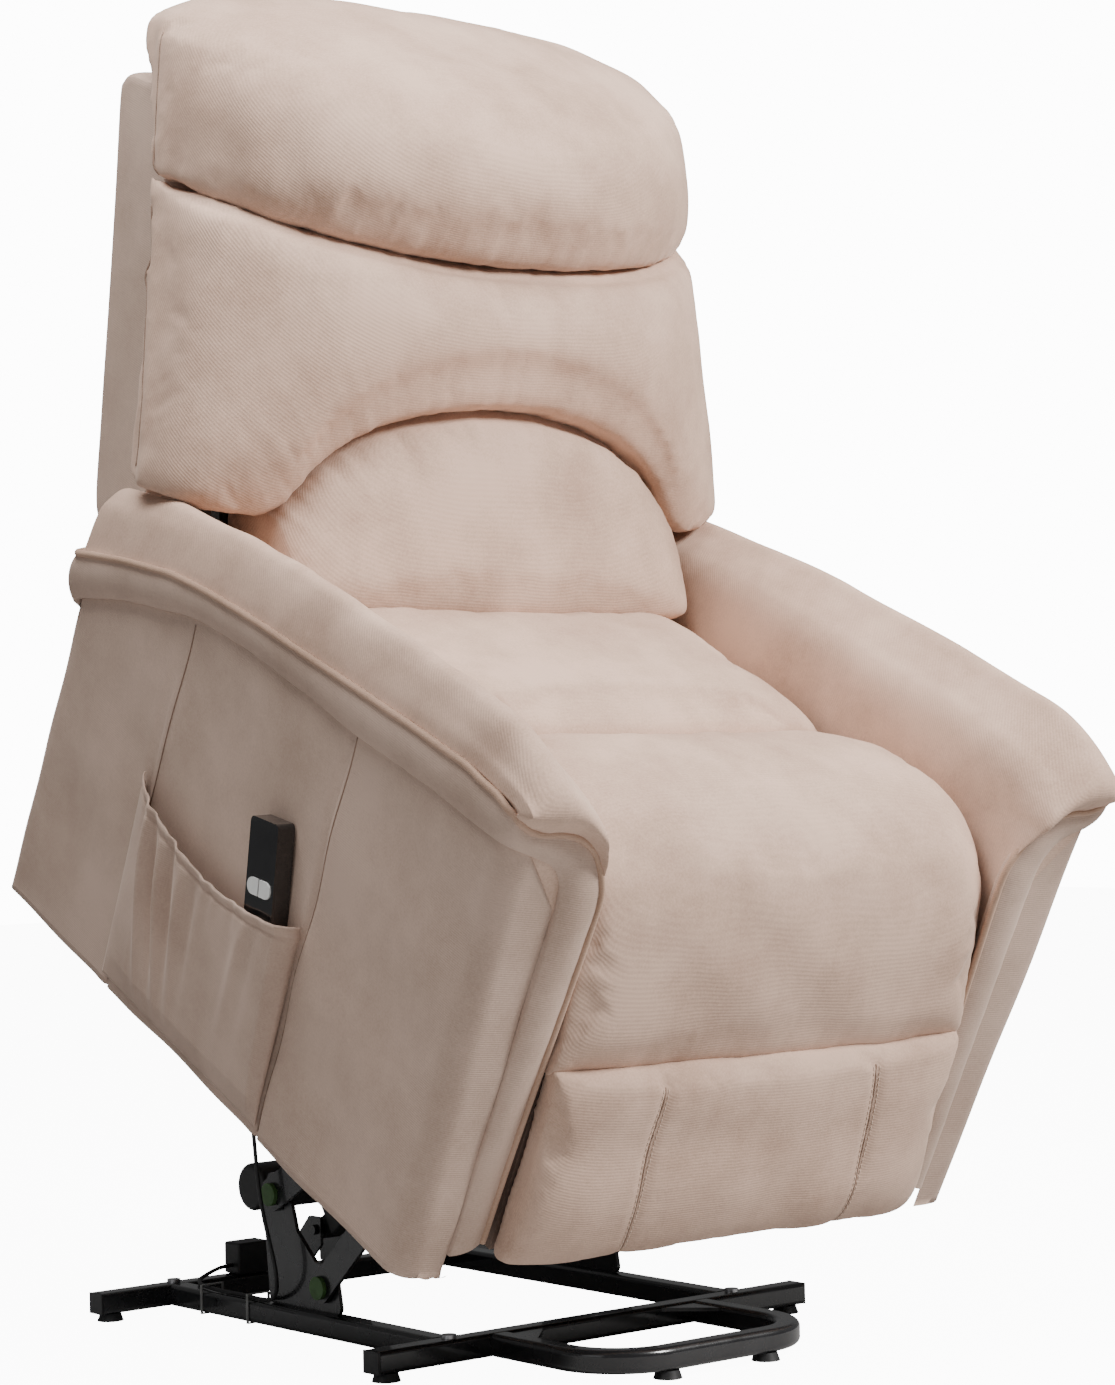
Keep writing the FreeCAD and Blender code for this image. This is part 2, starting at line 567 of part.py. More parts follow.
BOARD_BOTTOM, BOARD_TOP = 404, 940
BOARD_OUTLINE = [(cushion_rear(BOARD_BOTTOM) + 0.5, BOARD_BOTTOM), (cushion_rear(BOARD_BOTTOM) + BOARD, BOARD_BOTTOM),
                 (cushion_rear(BOARD_TOP) + BOARD, BOARD_TOP), (cushion_rear(BOARD_TOP) + 0.5, BOARD_TOP)]
back_board = padded("back_board", "YZ_Plane", -BOARD_HALF, "2 * #back_board_half#", straight_outline(BOARD_OUTLINE))
keep(back_board, "back_board", SEAT)

SHELL_BOTTOM, SHELL_STEP, SHELL_TOP = 434, 579, 925
SHELL_OUTLINE = [(792, SHELL_BOTTOM), (shell_rear(SHELL_BOTTOM), SHELL_BOTTOM), (shell_rear(SHELL_TOP), SHELL_TOP),
                 (cushion_rear(SHELL_TOP) + 27, SHELL_TOP + 16), (794, SHELL_STEP)]
side_block("back_shell", SHELL_OUTLINE, SHELL_HALF - 4, SEAT)

HINGE_ARM_OUTLINE = [(592, 314), (634, 314), (752, 396), (786, 498), (760, 498), (718, 398), (690, 384), (592, 350)]
hinge_arms = []
for side, sign in SIDES:
    start = mirrored_start(sign, dim("mechanism_x") + PLATE + 2, PLATE)
    hinge_arms.append(plate(side + "_back_arm", start, "#plate_thickness#", HINGE_ARM_OUTLINE, 4,
                            [(HINGE, PIN + RUNNING)]))
keep(group("back_hinge_arms", *hinge_arms), "back_hinge_arms", SEAT)


def plan(z, half, front, edge, rear=None):
    """A back cushion seen from above at height z: crowned front, upright sides, flat rear."""
    rear = rear or cushion_rear(z)
    return [(-half * 0.6, rear, z), (-half, rear - 8, z), (-half, edge, z), (-half * 0.55, front + 14, z),
            (0, front, z), (half * 0.55, front + 14, z), (half, edge, z), (half, rear - 8, z), (half * 0.6, rear, z)]


soft("lumbar_cushion", [plan(z, 282, y, y + 40) for z, y in ((464, 524), (520, 548), (567, 572))], SEAT)
soft("mid_back_cushion", [plan(z, half, front, edge) for z, half, front, edge in (
    (568, BACK_HALF + 6, 574, 692), (680, BACK_HALF - 2, 618, 760), (840, 376, 650, 830))], SEAT)
soft("head_pillow", [plan(*station) for station in (
    (841, 376, 650, 830), (943, 366, 665, 880), (962, 360, 680, 880, 1056), (1010, 342, 750, 910, 1056),
    (1046, 325, 900, 960, 1040))], SEAT)

# ---------------------------------------------------------------- footrest

KNEE, P_BOARD = (dim("knee_y"), dim("knee_z")), (dim("foot_board_y"), dim("foot_board_z"))
FOOT_X = dim("mechanism_x") + PLATE + 2
LINK_GAP = 7
upper, lower, board_brackets, knee_pins = [], [], [], []
for side, sign in SIDES:
    slim = dim("foot_link_half_width")
    upper.append(plate(side + "_upper_link", mirrored_start(sign, FOOT_X, PLATE), "#plate_thickness#",
                       bar_points(C_FOOT, KNEE, slim), slim * 0.9, [(C_FOOT, PIN + RUNNING), (KNEE, PIN + RUNNING)]))
    lower_x = FOOT_X + LINK_GAP
    lower.append(plate(side + "_lower_link", mirrored_start(sign, lower_x, PLATE), "#plate_thickness#",
                       bar_points(KNEE, P_BOARD, slim), slim * 0.9, [(P_BOARD, PIN + RUNNING)]))
    knee_pins.append(pin(side + "_knee_pin", sign * (FOOT_X - 1), sign * (lower_x + 0.2), KNEE))
    bracket_x = lower_x + LINK_GAP
    board_brackets.append(plate(side + "_board_ear", mirrored_start(sign, bracket_x, PLATE), "#plate_thickness#",
                                [(-11.5, 60), (12, 76), (12, 104), (-11.5, 120)], 4))
    board_brackets.append(pin(side + "_board_pin", sign * (lower_x - 1), sign * (bracket_x - 0.05), P_BOARD))
keep(group("footrest_upper_links", *upper), "footrest_upper_links", SEAT)
lower_links = group("footrest_lower_links", *[fuse(f"lower_link_{i}", a, b) for i, (a, b) in
                                              enumerate(zip(lower, knee_pins))])
keep(lower_links, "footrest_lower_links", SEAT)
keep(group("footrest_brackets", *board_brackets), "footrest_brackets", SEAT)
FOOT_HALF = dim("foot_half")
side_block("footrest_board", [(-26, 24), (-12, 24), (-12, 228), (-26, 228)], FOOT_HALF - 4, SEAT)
side_block("footrest_pad", [(-26.5, 16), (-60, 18), (-66, 60), (-58, 200), (-38, 234), (-26.5, 236)], FOOT_HALF, SEAT)

# ---------------------------------------------------------------- handset in the pocket

HAND_W, HAND_L, HAND_T = dim("handset_width"), dim("handset_length"), dim("handset_thickness")
against_panel = Rotation(Vector(0, 1, 0), -dim("arm_flare"))
lean = Rotation(Vector(1, 0, 0), dim("handset_lean"))
panel_x = ARM_OUT + dim("handset_bottom_z") * math.tan(math.radians(dim("arm_flare")))
HAND = SEAT.multiply(Placement(Vector(-panel_x - 1, dim("handset_y"), dim("handset_bottom_z")),
                               against_panel.multiply(lean)))
half_t = HAND_T / 2


def handset_half(name, x0):
    """Half of the case; its four long edges are rounded."""
    solid = box(name + "_solid", "#handset_thickness# / 2 - 0.05", "#handset_width#", "#handset_length#",
                (x0, -HAND_W / 2, 0))
    return rounded(name, solid, 6, lambda e: e.BoundBox.XLength > 8 and e.BoundBox.YLength < 1)


back_case = handset_half("handset_back_case", -half_t)
keep(back_case, "handset_back_case", HAND)
front_case = handset_half("front_case_blank", -HAND_T + 0.05)
BUTTON_Z, BUTTON_GAP, BUTTON_R, BUTTON_HALF_LENGTH = 78, 1.2, 9, 21


def button_shape(name, sign, grow, x0, thickness):
    """Half a pill lying across the handset: straight beside the middle, round at its outer end."""
    straight = BUTTON_HALF_LENGTH - BUTTON_R - BUTTON_GAP + grow
    start = BUTTON_GAP - grow if sign > 0 else -BUTTON_GAP + grow - straight
    flat = box(name + "_flat", f"{thickness}", f"{straight}", f"{2 * (BUTTON_R + grow)}",
               (x0, start, BUTTON_Z - BUTTON_R - grow))
    end = rod(name + "_end", f"{BUTTON_R + grow}", f"{thickness}",
              (x0, sign * (BUTTON_HALF_LENGTH - BUTTON_R), BUTTON_Z))
    return fuse(name, flat, end)


BUTTONS = (("raise_button", 1), ("lower_button", -1))
wells = [button_shape(name + "_well", sign, 0.3, -HAND_T - 0.5, 4) for name, sign in BUTTONS]
keep(cut("handset_front_case", front_case, group("wells", *wells)), "handset_front_case", HAND)
for name, sign in BUTTONS:
    keep(button_shape(name, sign, 0, -HAND_T - 1.5, 3), name, HAND)

# ---------------------------------------------------------------- cable and its ties

CABLE_RADIUS = 2.4
CABLE_ROUTE = [(-294, 214, 420), (-280, 216, 418), (-262, 221, 408), (-246, 230, 390), (-236, 240, 362),
               (-230, 247, 326), (-227, 251, 288), (-226, 250, 252), (-227, 244, 216), (-228, 238, 178),
               (-228, 229, 140), (-227, 216, 104), (-226, 208, 78), (-222, 211, 56), (-215, 229, 40),
               (-212, 258, 36.8), (-209, 296, 37.2), (-211, 336, 36.8), (-208, 372, 37.2), (-201, 402, 37),
               (-186, 427, 38), (-166, 441, 40), (-148, 449, 43), (-134, 451.5, 45), (-122.3, 452, 45)]


def tube_along(route, radius):
    """Straight runs joined by the largest arcs that their lengths allow."""
    points = [Vector(*p) for p in route]
    edges, start, radii = [], points[0], []
    for before, corner, after in zip(points, points[1:], points[2:]):
        back, ahead = before - corner, after - corner
        shorter = min(back.Length, ahead.Length)
        tangent = 0.45 * shorter
        turn = math.pi - back.getAngle(ahead)
        bend = tangent / math.tan(turn / 2)
        radii.append(bend)
        back.normalize()
        ahead.normalize()
        enter, leave = corner + back * tangent, corner + ahead * tangent
        inward = (back + ahead).normalize()
        middle = corner + inward * (bend / math.cos(turn / 2) - bend)
        edges.append(Part.LineSegment(start, enter).toShape())
        edges.append(Part.Arc(enter, middle, leave).toShape())
        start = leave
    edges.append(Part.LineSegment(start, points[-1]).toShape())
    path = Part.Wire(edges)
    ring = Part.Wire(Part.makeCircle(radius, points[0], points[1] - points[0]))
    solid = path.makePipeShell([ring], True, False)
    print("cable radii", [round(r) for r in radii], "length", round(path.Length, 1),
          "volume ratio", round(solid.Volume / (math.pi * radius ** 2 * path.Length), 3))
    return solid


cable = doc.addObject("Part::Feature", "control_cable")
cable.Shape = tube_along(CABLE_ROUTE, CABLE_RADIUS)
keep(cable, "control_cable")

# The cable passes through this bush in the right inner panel on its way to the handset.
BUSH_RADIUS, BUSH_LENGTH, BUSH_GAP = 7, 5.2, 0.7
bush_x, bush_y, bush_z = CABLE_ROUTE[0]
bush = rod("bush_solid", f"{BUSH_RADIUS}", f"{BUSH_LENGTH}", (bush_x - BUSH_GAP, bush_y, bush_z), (-1, 0, 0))
keep(bush, "cable_bush")

TIE = 1.4
ties = []
for index, y in enumerate((275, 370)):
    outer = box(f"tie_{index}_outer", "#base_tube_width# + 2.8", "4", "#base_tube_height# + 9",
                (-RAIL_X - TUBE_W / 2 - TIE, y, FOOT - TIE))
    inner = box(f"tie_{index}_inner", "#base_tube_width# + 0.2", "6", "#base_tube_height# + 6.4",
                (-RAIL_X - TUBE_W / 2 - 0.1, y - 1, FOOT - 0.1))
    ties.append(cut(f"tie_{index}", outer, inner))
keep(group("cable_ties", *ties), "cable_ties")

# ---------------------------------------------------------------- check and write

doc.recompute()
faults = [o.Name for o in doc.Objects if "Invalid" in o.State or "Error" in o.State]
for part in SUB_PARTS:
    if part.Shape.isNull() or not part.Shape.isValid() or not part.Shape.Solids:
        faults.append(part.Label)
if faults:
    raise SystemExit(f"failed: {faults}")
print(len(SUB_PARTS), "sub-parts")
for part in SUB_PARTS:
    part.Shape.exportStep(f"parts/{part.Label}.step")
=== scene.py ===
import json
import math
from collections import namedtuple
import bpy
import numpy as np
from mathutils import Matrix, Vector


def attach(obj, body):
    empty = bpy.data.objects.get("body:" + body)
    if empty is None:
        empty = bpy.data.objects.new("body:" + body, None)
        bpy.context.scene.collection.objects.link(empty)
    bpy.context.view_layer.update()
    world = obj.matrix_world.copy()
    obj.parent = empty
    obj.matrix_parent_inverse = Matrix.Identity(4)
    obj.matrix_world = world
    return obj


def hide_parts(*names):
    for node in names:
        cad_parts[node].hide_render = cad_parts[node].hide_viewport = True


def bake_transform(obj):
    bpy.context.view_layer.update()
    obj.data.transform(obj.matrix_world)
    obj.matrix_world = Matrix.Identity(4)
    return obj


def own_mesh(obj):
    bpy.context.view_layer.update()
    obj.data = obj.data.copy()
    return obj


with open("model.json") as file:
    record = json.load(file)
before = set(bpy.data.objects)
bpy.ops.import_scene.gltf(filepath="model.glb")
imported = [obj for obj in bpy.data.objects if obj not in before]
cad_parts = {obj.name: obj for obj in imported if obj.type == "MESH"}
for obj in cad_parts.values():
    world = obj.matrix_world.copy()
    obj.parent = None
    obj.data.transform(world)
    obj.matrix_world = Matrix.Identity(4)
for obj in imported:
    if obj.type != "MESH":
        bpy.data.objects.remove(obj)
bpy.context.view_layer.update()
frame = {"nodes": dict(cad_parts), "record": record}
NODES = frame["nodes"]

# The seat frame: millimetres, its origin at the lower front corner of the arms, tilted about X.
SEAT_Y, SEAT_Z, SEAT_TILT = -219.3, 145.0, math.radians(27.07)
FLARE = math.tan(math.radians(2.2))
SIDES = (("left", 1), ("right", -1))


def to_row(points):
    """Points of the seat frame in mm, as row frame points in metres."""
    p = np.asarray(points, float).reshape(-1, 3)
    c, s = math.cos(SEAT_TILT), math.sin(SEAT_TILT)
    depth = SEAT_Y + p[:, 1] * c - p[:, 2] * s
    height = SEAT_Z + p[:, 1] * s + p[:, 2] * c
    return np.stack([p[:, 0], depth, height], 1) / 1000


# ---------------------------------------------------------------- camera

camera = bpy.data.objects.new("camera", bpy.data.cameras.new("camera"))
bpy.context.collection.objects.link(camera)
bpy.context.scene.camera = camera
YAW, PITCH, ROLL = math.radians(39.57), math.radians(1.10), math.radians(-1.20)
CAMERA_AT, LENS_MM = (-2.3256, -2.8533, 0.6515), 84.89
ahead = Vector((math.sin(YAW) * math.cos(PITCH), math.cos(YAW) * math.cos(PITCH), math.sin(PITCH)))
across = Vector((math.cos(YAW), -math.sin(YAW), 0))
upward = across.cross(ahead)
side_axis = across * math.cos(ROLL) + upward * math.sin(ROLL)
up_axis = upward * math.cos(ROLL) - across * math.sin(ROLL)
camera.matrix_world = Matrix((
    (side_axis.x, up_axis.x, -ahead.x, CAMERA_AT[0]), (side_axis.y, up_axis.y, -ahead.y, CAMERA_AT[1]),
    (side_axis.z, up_axis.z, -ahead.z, CAMERA_AT[2]), (0, 0, 0, 1)))
camera.data.sensor_width, camera.data.lens = 36, LENS_MM
camera.data.clip_start, camera.data.clip_end = 0.05, 60


# ---------------------------------------------------------------- materials

def material(name, base, roughness, metallic=0.0, sheen=0.0, coat=0.0):
    """A procedural material whose shader holds these constants; returns it with its nodes and links."""
    mat = bpy.data.materials.new(name)
    mat.use_nodes = True
    shader = mat.node_tree.nodes["Principled BSDF"]
    shader.inputs["Base Color"].default_value = (*base, 1)
    shader.inputs["Roughness"].default_value = roughness
    shader.inputs["Metallic"].default_value = metallic
    shader.inputs["Sheen Weight"].default_value = sheen
    shader.inputs["Coat Weight"].default_value = coat
    return mat, mat.node_tree.nodes, mat.node_tree.links, shader


def noise(nodes, links, vector, scale, detail=3.0, rough=0.55):
    node = nodes.new("ShaderNodeTexNoise")
    node.inputs["Scale"].default_value = scale
    node.inputs["Detail"].default_value = detail
    node.inputs["Roughness"].default_value = rough
    links.new(vector, node.inputs["Vector"])
    return node.outputs["Fac"]


def ramp(nodes, links, factor, low, high, start=0.3, end=0.7):
    node = nodes.new("ShaderNodeValToRGB")
    first, last = node.color_ramp.elements
    first.position, first.color = start, (*low, 1)
    last.position, last.color = end, (*high, 1)
    links.new(factor, node.inputs["Fac"])
    return node.outputs["Color"]


def math_node(nodes, links, operation, a, b):
    node = nodes.new("ShaderNodeMath")
    node.operation = operation
    for socket, value in zip(node.inputs, (a, b)):
        if isinstance(value, (int, float)):
            socket.default_value = value
        else:
            links.new(value, socket)
    return node.outputs[0]


def tilted_coordinates(nodes, links, across_weight, depth_weight, height_weight):
    """(object coordinates, the distance in metres along a direction of the seat frame)."""
    place = nodes.new("ShaderNodeTexCoord").outputs["Object"]
    turn = nodes.new("ShaderNodeVectorRotate")
    turn.rotation_type = "X_AXIS"
    turn.inputs["Angle"].default_value = -SEAT_TILT
    links.new(place, turn.inputs["Vector"])
    dot = nodes.new("ShaderNodeVectorMath")
    dot.operation = "DOT_PRODUCT"
    dot.inputs[1].default_value = (across_weight, depth_weight, height_weight)
    links.new(turn.outputs["Vector"], dot.inputs[0])
    return turn.outputs["Vector"], dot.outputs["Value"]


def velvet(name, direction, light=(0.625, 0.43, 0.33), dark=(0.42, 0.272, 0.20), rib=0.0024):
    """Short pile on a ribbed ground: ribs across direction, brushed patches, fine grain and sheen."""
    mat, nodes, links, shader = material(name, light, 0.85, sheen=0.22)
    place, along = tilted_coordinates(nodes, links, *direction)
    wobble = noise(nodes, links, place, 45, 2)
    phase = math_node(nodes, links, "MULTIPLY_ADD", along, 2 * math.pi / rib)
    links.new(math_node(nodes, links, "MULTIPLY", wobble, 2.4), phase.node.inputs[2])
    ribs = math_node(nodes, links, "SINE", phase, 0.0)
    brushed = noise(nodes, links, place, 7.0, 6, 0.62)
    grain = noise(nodes, links, place, 420, 2)
    cloud = math_node(nodes, links, "MULTIPLY_ADD", grain, 0.35)
    links.new(brushed, cloud.node.inputs[2])
    shade = math_node(nodes, links, "MULTIPLY_ADD", ribs, 0.009)
    links.new(cloud, shade.node.inputs[2])
    links.new(ramp(nodes, links, shade, dark, light, 0.46, 0.80), shader.inputs["Base Color"])
    shader.inputs["Sheen Roughness"].default_value = 0.38
    shader.inputs["Sheen Tint"].default_value = (1.0, 0.88, 0.78, 1)
    height = math_node(nodes, links, "MULTIPLY_ADD", ribs, 0.5)
    links.new(grain, height.node.inputs[2])
    bump = nodes.new("ShaderNodeBump")
    bump.inputs["Strength"].default_value = 0.3
    bump.inputs["Distance"].default_value = 0.0004
    links.new(height, bump.inputs["Height"])
    links.new(bump.outputs["Normal"], shader.inputs["Normal"])
    return mat


def worn(name, base, other, roughness, scale=60, metallic=0.0, coat=0.0, bump_depth=0.0002):
    """A hard finish with cloudy colour, uneven gloss and a fine surface texture."""
    mat, nodes, links, shader = material(name, base, roughness, metallic, coat=coat)
    place = nodes.new("ShaderNodeTexCoord").outputs["Object"]
    cloud = noise(nodes, links, place, scale, 4)
    links.new(ramp(nodes, links, cloud, base, other), shader.inputs["Base Color"])
    links.new(math_node(nodes, links, "MULTIPLY_ADD", cloud, 0.18), shader.inputs["Roughness"])
    shader.inputs["Roughness"].links[0].from_node.inputs[2].default_value = roughness - 0.06
    bump = nodes.new("ShaderNodeBump")
    bump.inputs["Strength"].default_value = 0.25
    bump.inputs["Distance"].default_value = bump_depth
    links.new(noise(nodes, links, place, 900, 2), bump.inputs["Height"])
    links.new(bump.outputs["Normal"], shader.inputs["Normal"])
    return mat


CUSHION_VELVET = velvet("cushion_velvet", (0, -0.55, 0.83))
SEAT_VELVET = velvet("seat_velvet", (0, -0.8, 0.6))
# Painted shade: the outer panels, bands, back shell, rear cover and pocket take a darker copy of the cushion velvet,
# standing for the shade on faces turned away from the light.
SHADED_SIDE_VELVET = velvet("side_velvet_painted_shade", (0.1, 0, 1), (0.555, 0.40, 0.32), (0.415, 0.29, 0.225))
# Painted shade: the piping is the same cloth as the cushions, darkened to show the shade along it.
SHADED_PIPING_VELVET = velvet("piping_velvet_painted_shade", (0, 0.7, 0.7), (0.50, 0.325, 0.235), (0.38, 0.24, 0.165), 0.0022)
# Painted shade: a dark velvet for the thin tubes laid in the seam grooves, standing for the shade inside them.
PAINTED_SEAM_SHADE = velvet("painted_seam_shade_velvet", (0, 0, 1), (0.30, 0.20, 0.15), (0.20, 0.13, 0.095))
THREAD = worn("stitch_thread", (0.60, 0.46, 0.37), (0.52, 0.39, 0.31), 0.6, 500)
BROWN_CLOTH = velvet("brown_cloth", (0.5, 0, 0.86), (0.20, 0.13, 0.10), (0.12, 0.08, 0.06), 0.0018)
POWDER_COAT = worn("powder_coat", (0.010, 0.010, 0.011), (0.018, 0.018, 0.02), 0.24, 25, coat=0.6)
ZINC = worn("zinc_plate", (0.60, 0.60, 0.61), (0.48, 0.48, 0.50), 0.34, 90, metallic=1.0)
HOUSING = worn("black_housing", (0.016, 0.016, 0.017), (0.026, 0.026, 0.027), 0.42, 70)
GLOSS_BLACK = worn("gloss_black", (0.008, 0.008, 0.009), (0.012, 0.012, 0.013), 0.16, 40, coat=0.8)
GREEN_NYLON = worn("green_nylon", (0.07, 0.16, 0.045), (0.05, 0.11, 0.03), 0.45, 80)
WHITE_NYLON = worn("white_nylon", (0.80, 0.80, 0.78), (0.72, 0.72, 0.70), 0.40, 80)
TIE_NYLON = worn("tie_nylon", (0.30, 0.30, 0.29), (0.22, 0.22, 0.21), 0.35, 80)
JACKET = worn("cable_jacket", (0.015, 0.015, 0.016), (0.024, 0.024, 0.025), 0.45, 120)
PLYWOOD = worn("plywood", (0.58, 0.42, 0.25), (0.45, 0.31, 0.17), 0.62, 18)
WEBBING = worn("elastic_webbing", (0.05, 0.05, 0.05), (0.10, 0.10, 0.10), 0.8, 300)

# The taupe CAD parts take the side velvet, whose darker colour is painted shade.
SLOT_FINISH = {"taupe_fabric": SHADED_SIDE_VELVET, "brown_fabric": BROWN_CLOTH, "webbing": WEBBING,
               "black_frame": POWDER_COAT, "black_tube": HOUSING, "zinc_steel": ZINC,
               "black_plastic": HOUSING, "green_bush": GREEN_NYLON, "cable_jacket": JACKET, "white_nylon": WHITE_NYLON,
               "white_button": WHITE_NYLON, "plywood": PLYWOOD}
for entry in frame["record"]["subparts"]:
    node = NODES[entry["node"]]
    if not node.material_slots:
        node.data.materials.append(None)
    for place in node.material_slots:
        place.material = SLOT_FINISH[entry["material_slot"]]
for name in ("handset_back_case", "handset_front_case"):
    NODES[name].material_slots[0].material = GLOSS_BLACK


# ---------------------------------------------------------------- shared ways of making a piece

def mesh_object(name, points, faces, finish):
    """A smooth-shaded mesh of row-frame points with one finish."""
    mesh = bpy.data.meshes.new(name)
    mesh.from_pydata([tuple(p) for p in points.tolist()], [], faces)
    mesh.validate()
    mesh.polygons.foreach_set("use_smooth", [True] * len(mesh.polygons))
    mesh.materials.append(finish)
    obj = bpy.data.objects.new(name, mesh)
    bpy.context.collection.objects.link(obj)
    return obj


def grid_faces(rows, columns, wrap_columns=False, start=0):
    """Quads over a rows x columns array of points, row by row."""
    sides = columns if wrap_columns else columns - 1
    row, column = np.meshgrid(np.arange(rows - 1), np.arange(sides), indexing="ij")
    after = (column + 1) % columns
    low, high = row * columns, (row + 1) * columns
    quads = np.stack([low + column, low + after, high + after, high + column], -1)
    return (quads.reshape(-1, 4) + start).tolist()


def grid_object(name, grid, finish, wrap_columns=False, caps=(), flip=False):
    """A surface through rows x columns x 3 row-frame points; caps lists the rows closed by one face."""
    rows, columns = grid.shape[:2]
    faces = grid_faces(rows, columns, wrap_columns)
    for row in caps:
        ring = [row * columns + k for k in range(columns)]
        faces.append(ring if row else ring[::-1])
    if flip:
        faces = [f[::-1] for f in faces]
    return mesh_object(name, grid.reshape(-1, 3), faces, finish)


def spline(points, count, closed=False):
    """count points on the Catmull-Rom curve through given points, evenly spaced by its parameter."""
    p = np.asarray(points, float)
    n = len(p)
    t = np.linspace(0, n, count, endpoint=False) if closed else np.linspace(0, n - 1, count)
    i = np.minimum(np.floor(t).astype(int), n - 1 if closed else n - 2)
    f = (t - i)[:, None]
    pick = (lambda k: p[k % n]) if closed else (lambda k: p[np.clip(k, 0, n - 1)])
    a, b, c, d = pick(i - 1), pick(i), pick(i + 1), pick(i + 2)
    square, cube = 2 * a - 5 * b + 4 * c - d, 3 * b - a - 3 * c + d
    return 0.5 * (2 * b + (c - a) * f + square * f ** 2 + cube * f ** 3)


def even(points, spacing):
    """The same open path with its points about spacing apart."""
    p = np.asarray(points, float)
    run = np.concatenate([[0], np.cumsum(np.linalg.norm(np.diff(p, axis=0), axis=1))])
    at = np.linspace(0, run[-1], max(2, int(round(run[-1] / spacing)) + 1))
    return np.stack([np.interp(at, run, p[:, k]) for k in range(p.shape[1])], 1)


def tube(name, path, radius, finish, sides=10):
    """A round cord along row-frame points: a circle carried along the path without twist, ends closed."""
    p = np.asarray(path, float)
    way = np.gradient(p, axis=0)
    way /= np.linalg.norm(way, axis=1)[:, None]
    normal = np.cross(way[0], (0.3, 0.5, 0.81))
    rings = []
    angle = np.linspace(0, 2 * math.pi, sides, endpoint=False)
    for k in range(len(p)):
        normal = normal - way[k] * (normal @ way[k])
        normal /= np.linalg.norm(normal)
        other = np.cross(way[k], normal)
        rings.append(p[k] + radius * (np.cos(angle)[:, None] * normal + np.sin(angle)[:, None] * other))
    return grid_object(name, np.array(rings), finish, wrap_columns=True, caps=(0, len(p) - 1))


def nearest(points, path, block=20000):
    """(distance to a dense path, how far along it) of each point, worked out a block at a time."""
    run = np.concatenate([[0], np.cumsum(np.linalg.norm(np.diff(path, axis=0), axis=1))])
    best, where = np.empty(len(points)), np.empty(len(points))
    for start in range(0, len(points), block):
        part = slice(start, start + block)
        gap = np.linalg.norm(points[part][:, None, :] - path[None, :, :], axis=2)
        index = gap.argmin(1)
        best[part] = gap.min(1)
        where[part] = run[index]
    return best, where


def points_of(obj):
    """The piece's points as one array."""
    flat = np.empty(len(obj.data.vertices) * 3)
    obj.data.vertices.foreach_get("co", flat)
    return flat.reshape(-1, 3)


def normals_of(obj):
    """The piece's point normals as one array."""
    flat = np.empty(len(obj.data.vertices) * 3)
    obj.data.vertex_normals.foreach_get("vector", flat)
    return flat.reshape(-1, 3)


def move_points(obj, points):
    """Put the piece's points at these places."""
    obj.data.vertices.foreach_set("co", points.ravel())
    obj.data.update()


def apply_modifiers(obj):
    """Make the piece's modified form its own mesh."""
    bpy.context.view_layer.update()
    graph = bpy.context.evaluated_depsgraph_get()
    done = bpy.data.meshes.new_from_object(obj.evaluated_get(graph), depsgraph=graph)
    obj.modifiers.clear()
    obj.data = done
    done.polygons.foreach_set("use_smooth", [True] * len(done.polygons))


STUFFING_PRESSURE, STUFFING_FRAMES, CLOTH_STIFFNESS = 4.0, 20, 12


def stuff(obj, voxel, cap):
    """Remesh a closed form evenly and let pressure swell it as cloth, no point moving over cap metres."""
    remesh = obj.modifiers.new("even_mesh", "REMESH")
    remesh.mode, remesh.voxel_size, remesh.adaptivity = "VOXEL", voxel, 0
    apply_modifiers(obj)
    before = points_of(obj)
    cloth = obj.modifiers.new("stuffing", "CLOTH")
    cloth.settings.quality = 4
    cloth.settings.mass = 0.3
    cloth.settings.tension_stiffness = cloth.settings.compression_stiffness = CLOTH_STIFFNESS
    cloth.settings.bending_stiffness = 1.5
    cloth.settings.use_pressure = True
    cloth.settings.uniform_pressure_force = STUFFING_PRESSURE
    cloth.settings.effector_weights.gravity = 0
    cloth.collision_settings.use_collision = False
    scene = bpy.context.scene
    scene.frame_start, scene.frame_end = 1, STUFFING_FRAMES
    for number in range(1, STUFFING_FRAMES + 1):
        scene.frame_set(number)
    apply_modifiers(obj)
    scene.frame_set(1)
    step = points_of(obj) - before
    length = np.linalg.norm(step, axis=1)
    kept = np.minimum(length, cap) / np.maximum(length, 1e-9)
    move_points(obj, before + step * kept[:, None])


Seam = namedtuple("Seam", "path depth width gather spacing reach")


def sew(obj, seams):
    """Press seams into a piece and gather the cloth beside them.

    A seam is a groove of its depth and half width. Beside it run folds at right angles to it, whose height
    gather fades over reach, uneven in size and about spacing apart. All are metres.
    """
    points, normals = points_of(obj), normals_of(obj)
    lift = np.zeros(len(points))
    for seam in seams:
        gap, run = nearest(points, even(seam.path, 0.004))
        lift -= seam.depth * np.exp(-(gap / seam.width) ** 2)
        phase = run / seam.spacing
        turn = 2 * math.pi * phase
        fold = np.sin(turn) * (0.55 + 0.45 * np.sin(2.1 * phase + 1))
        fold += 0.6 * np.sin(turn * 0.43 + 2) + 0.35 * np.sin(turn * 2.3 + 4)
        beside = np.exp(-gap / seam.reach) * (1 - np.exp(-(gap / (1.5 * seam.width)) ** 2))
        lift += seam.gather * fold * beside
    move_points(obj, points + normals * lift[:, None])


def soften(obj):
    """One smooth subdivision left on the piece."""
    smooth = obj.modifiers.new("smooth", "SUBSURF")
    smooth.levels = smooth.render_levels = 1


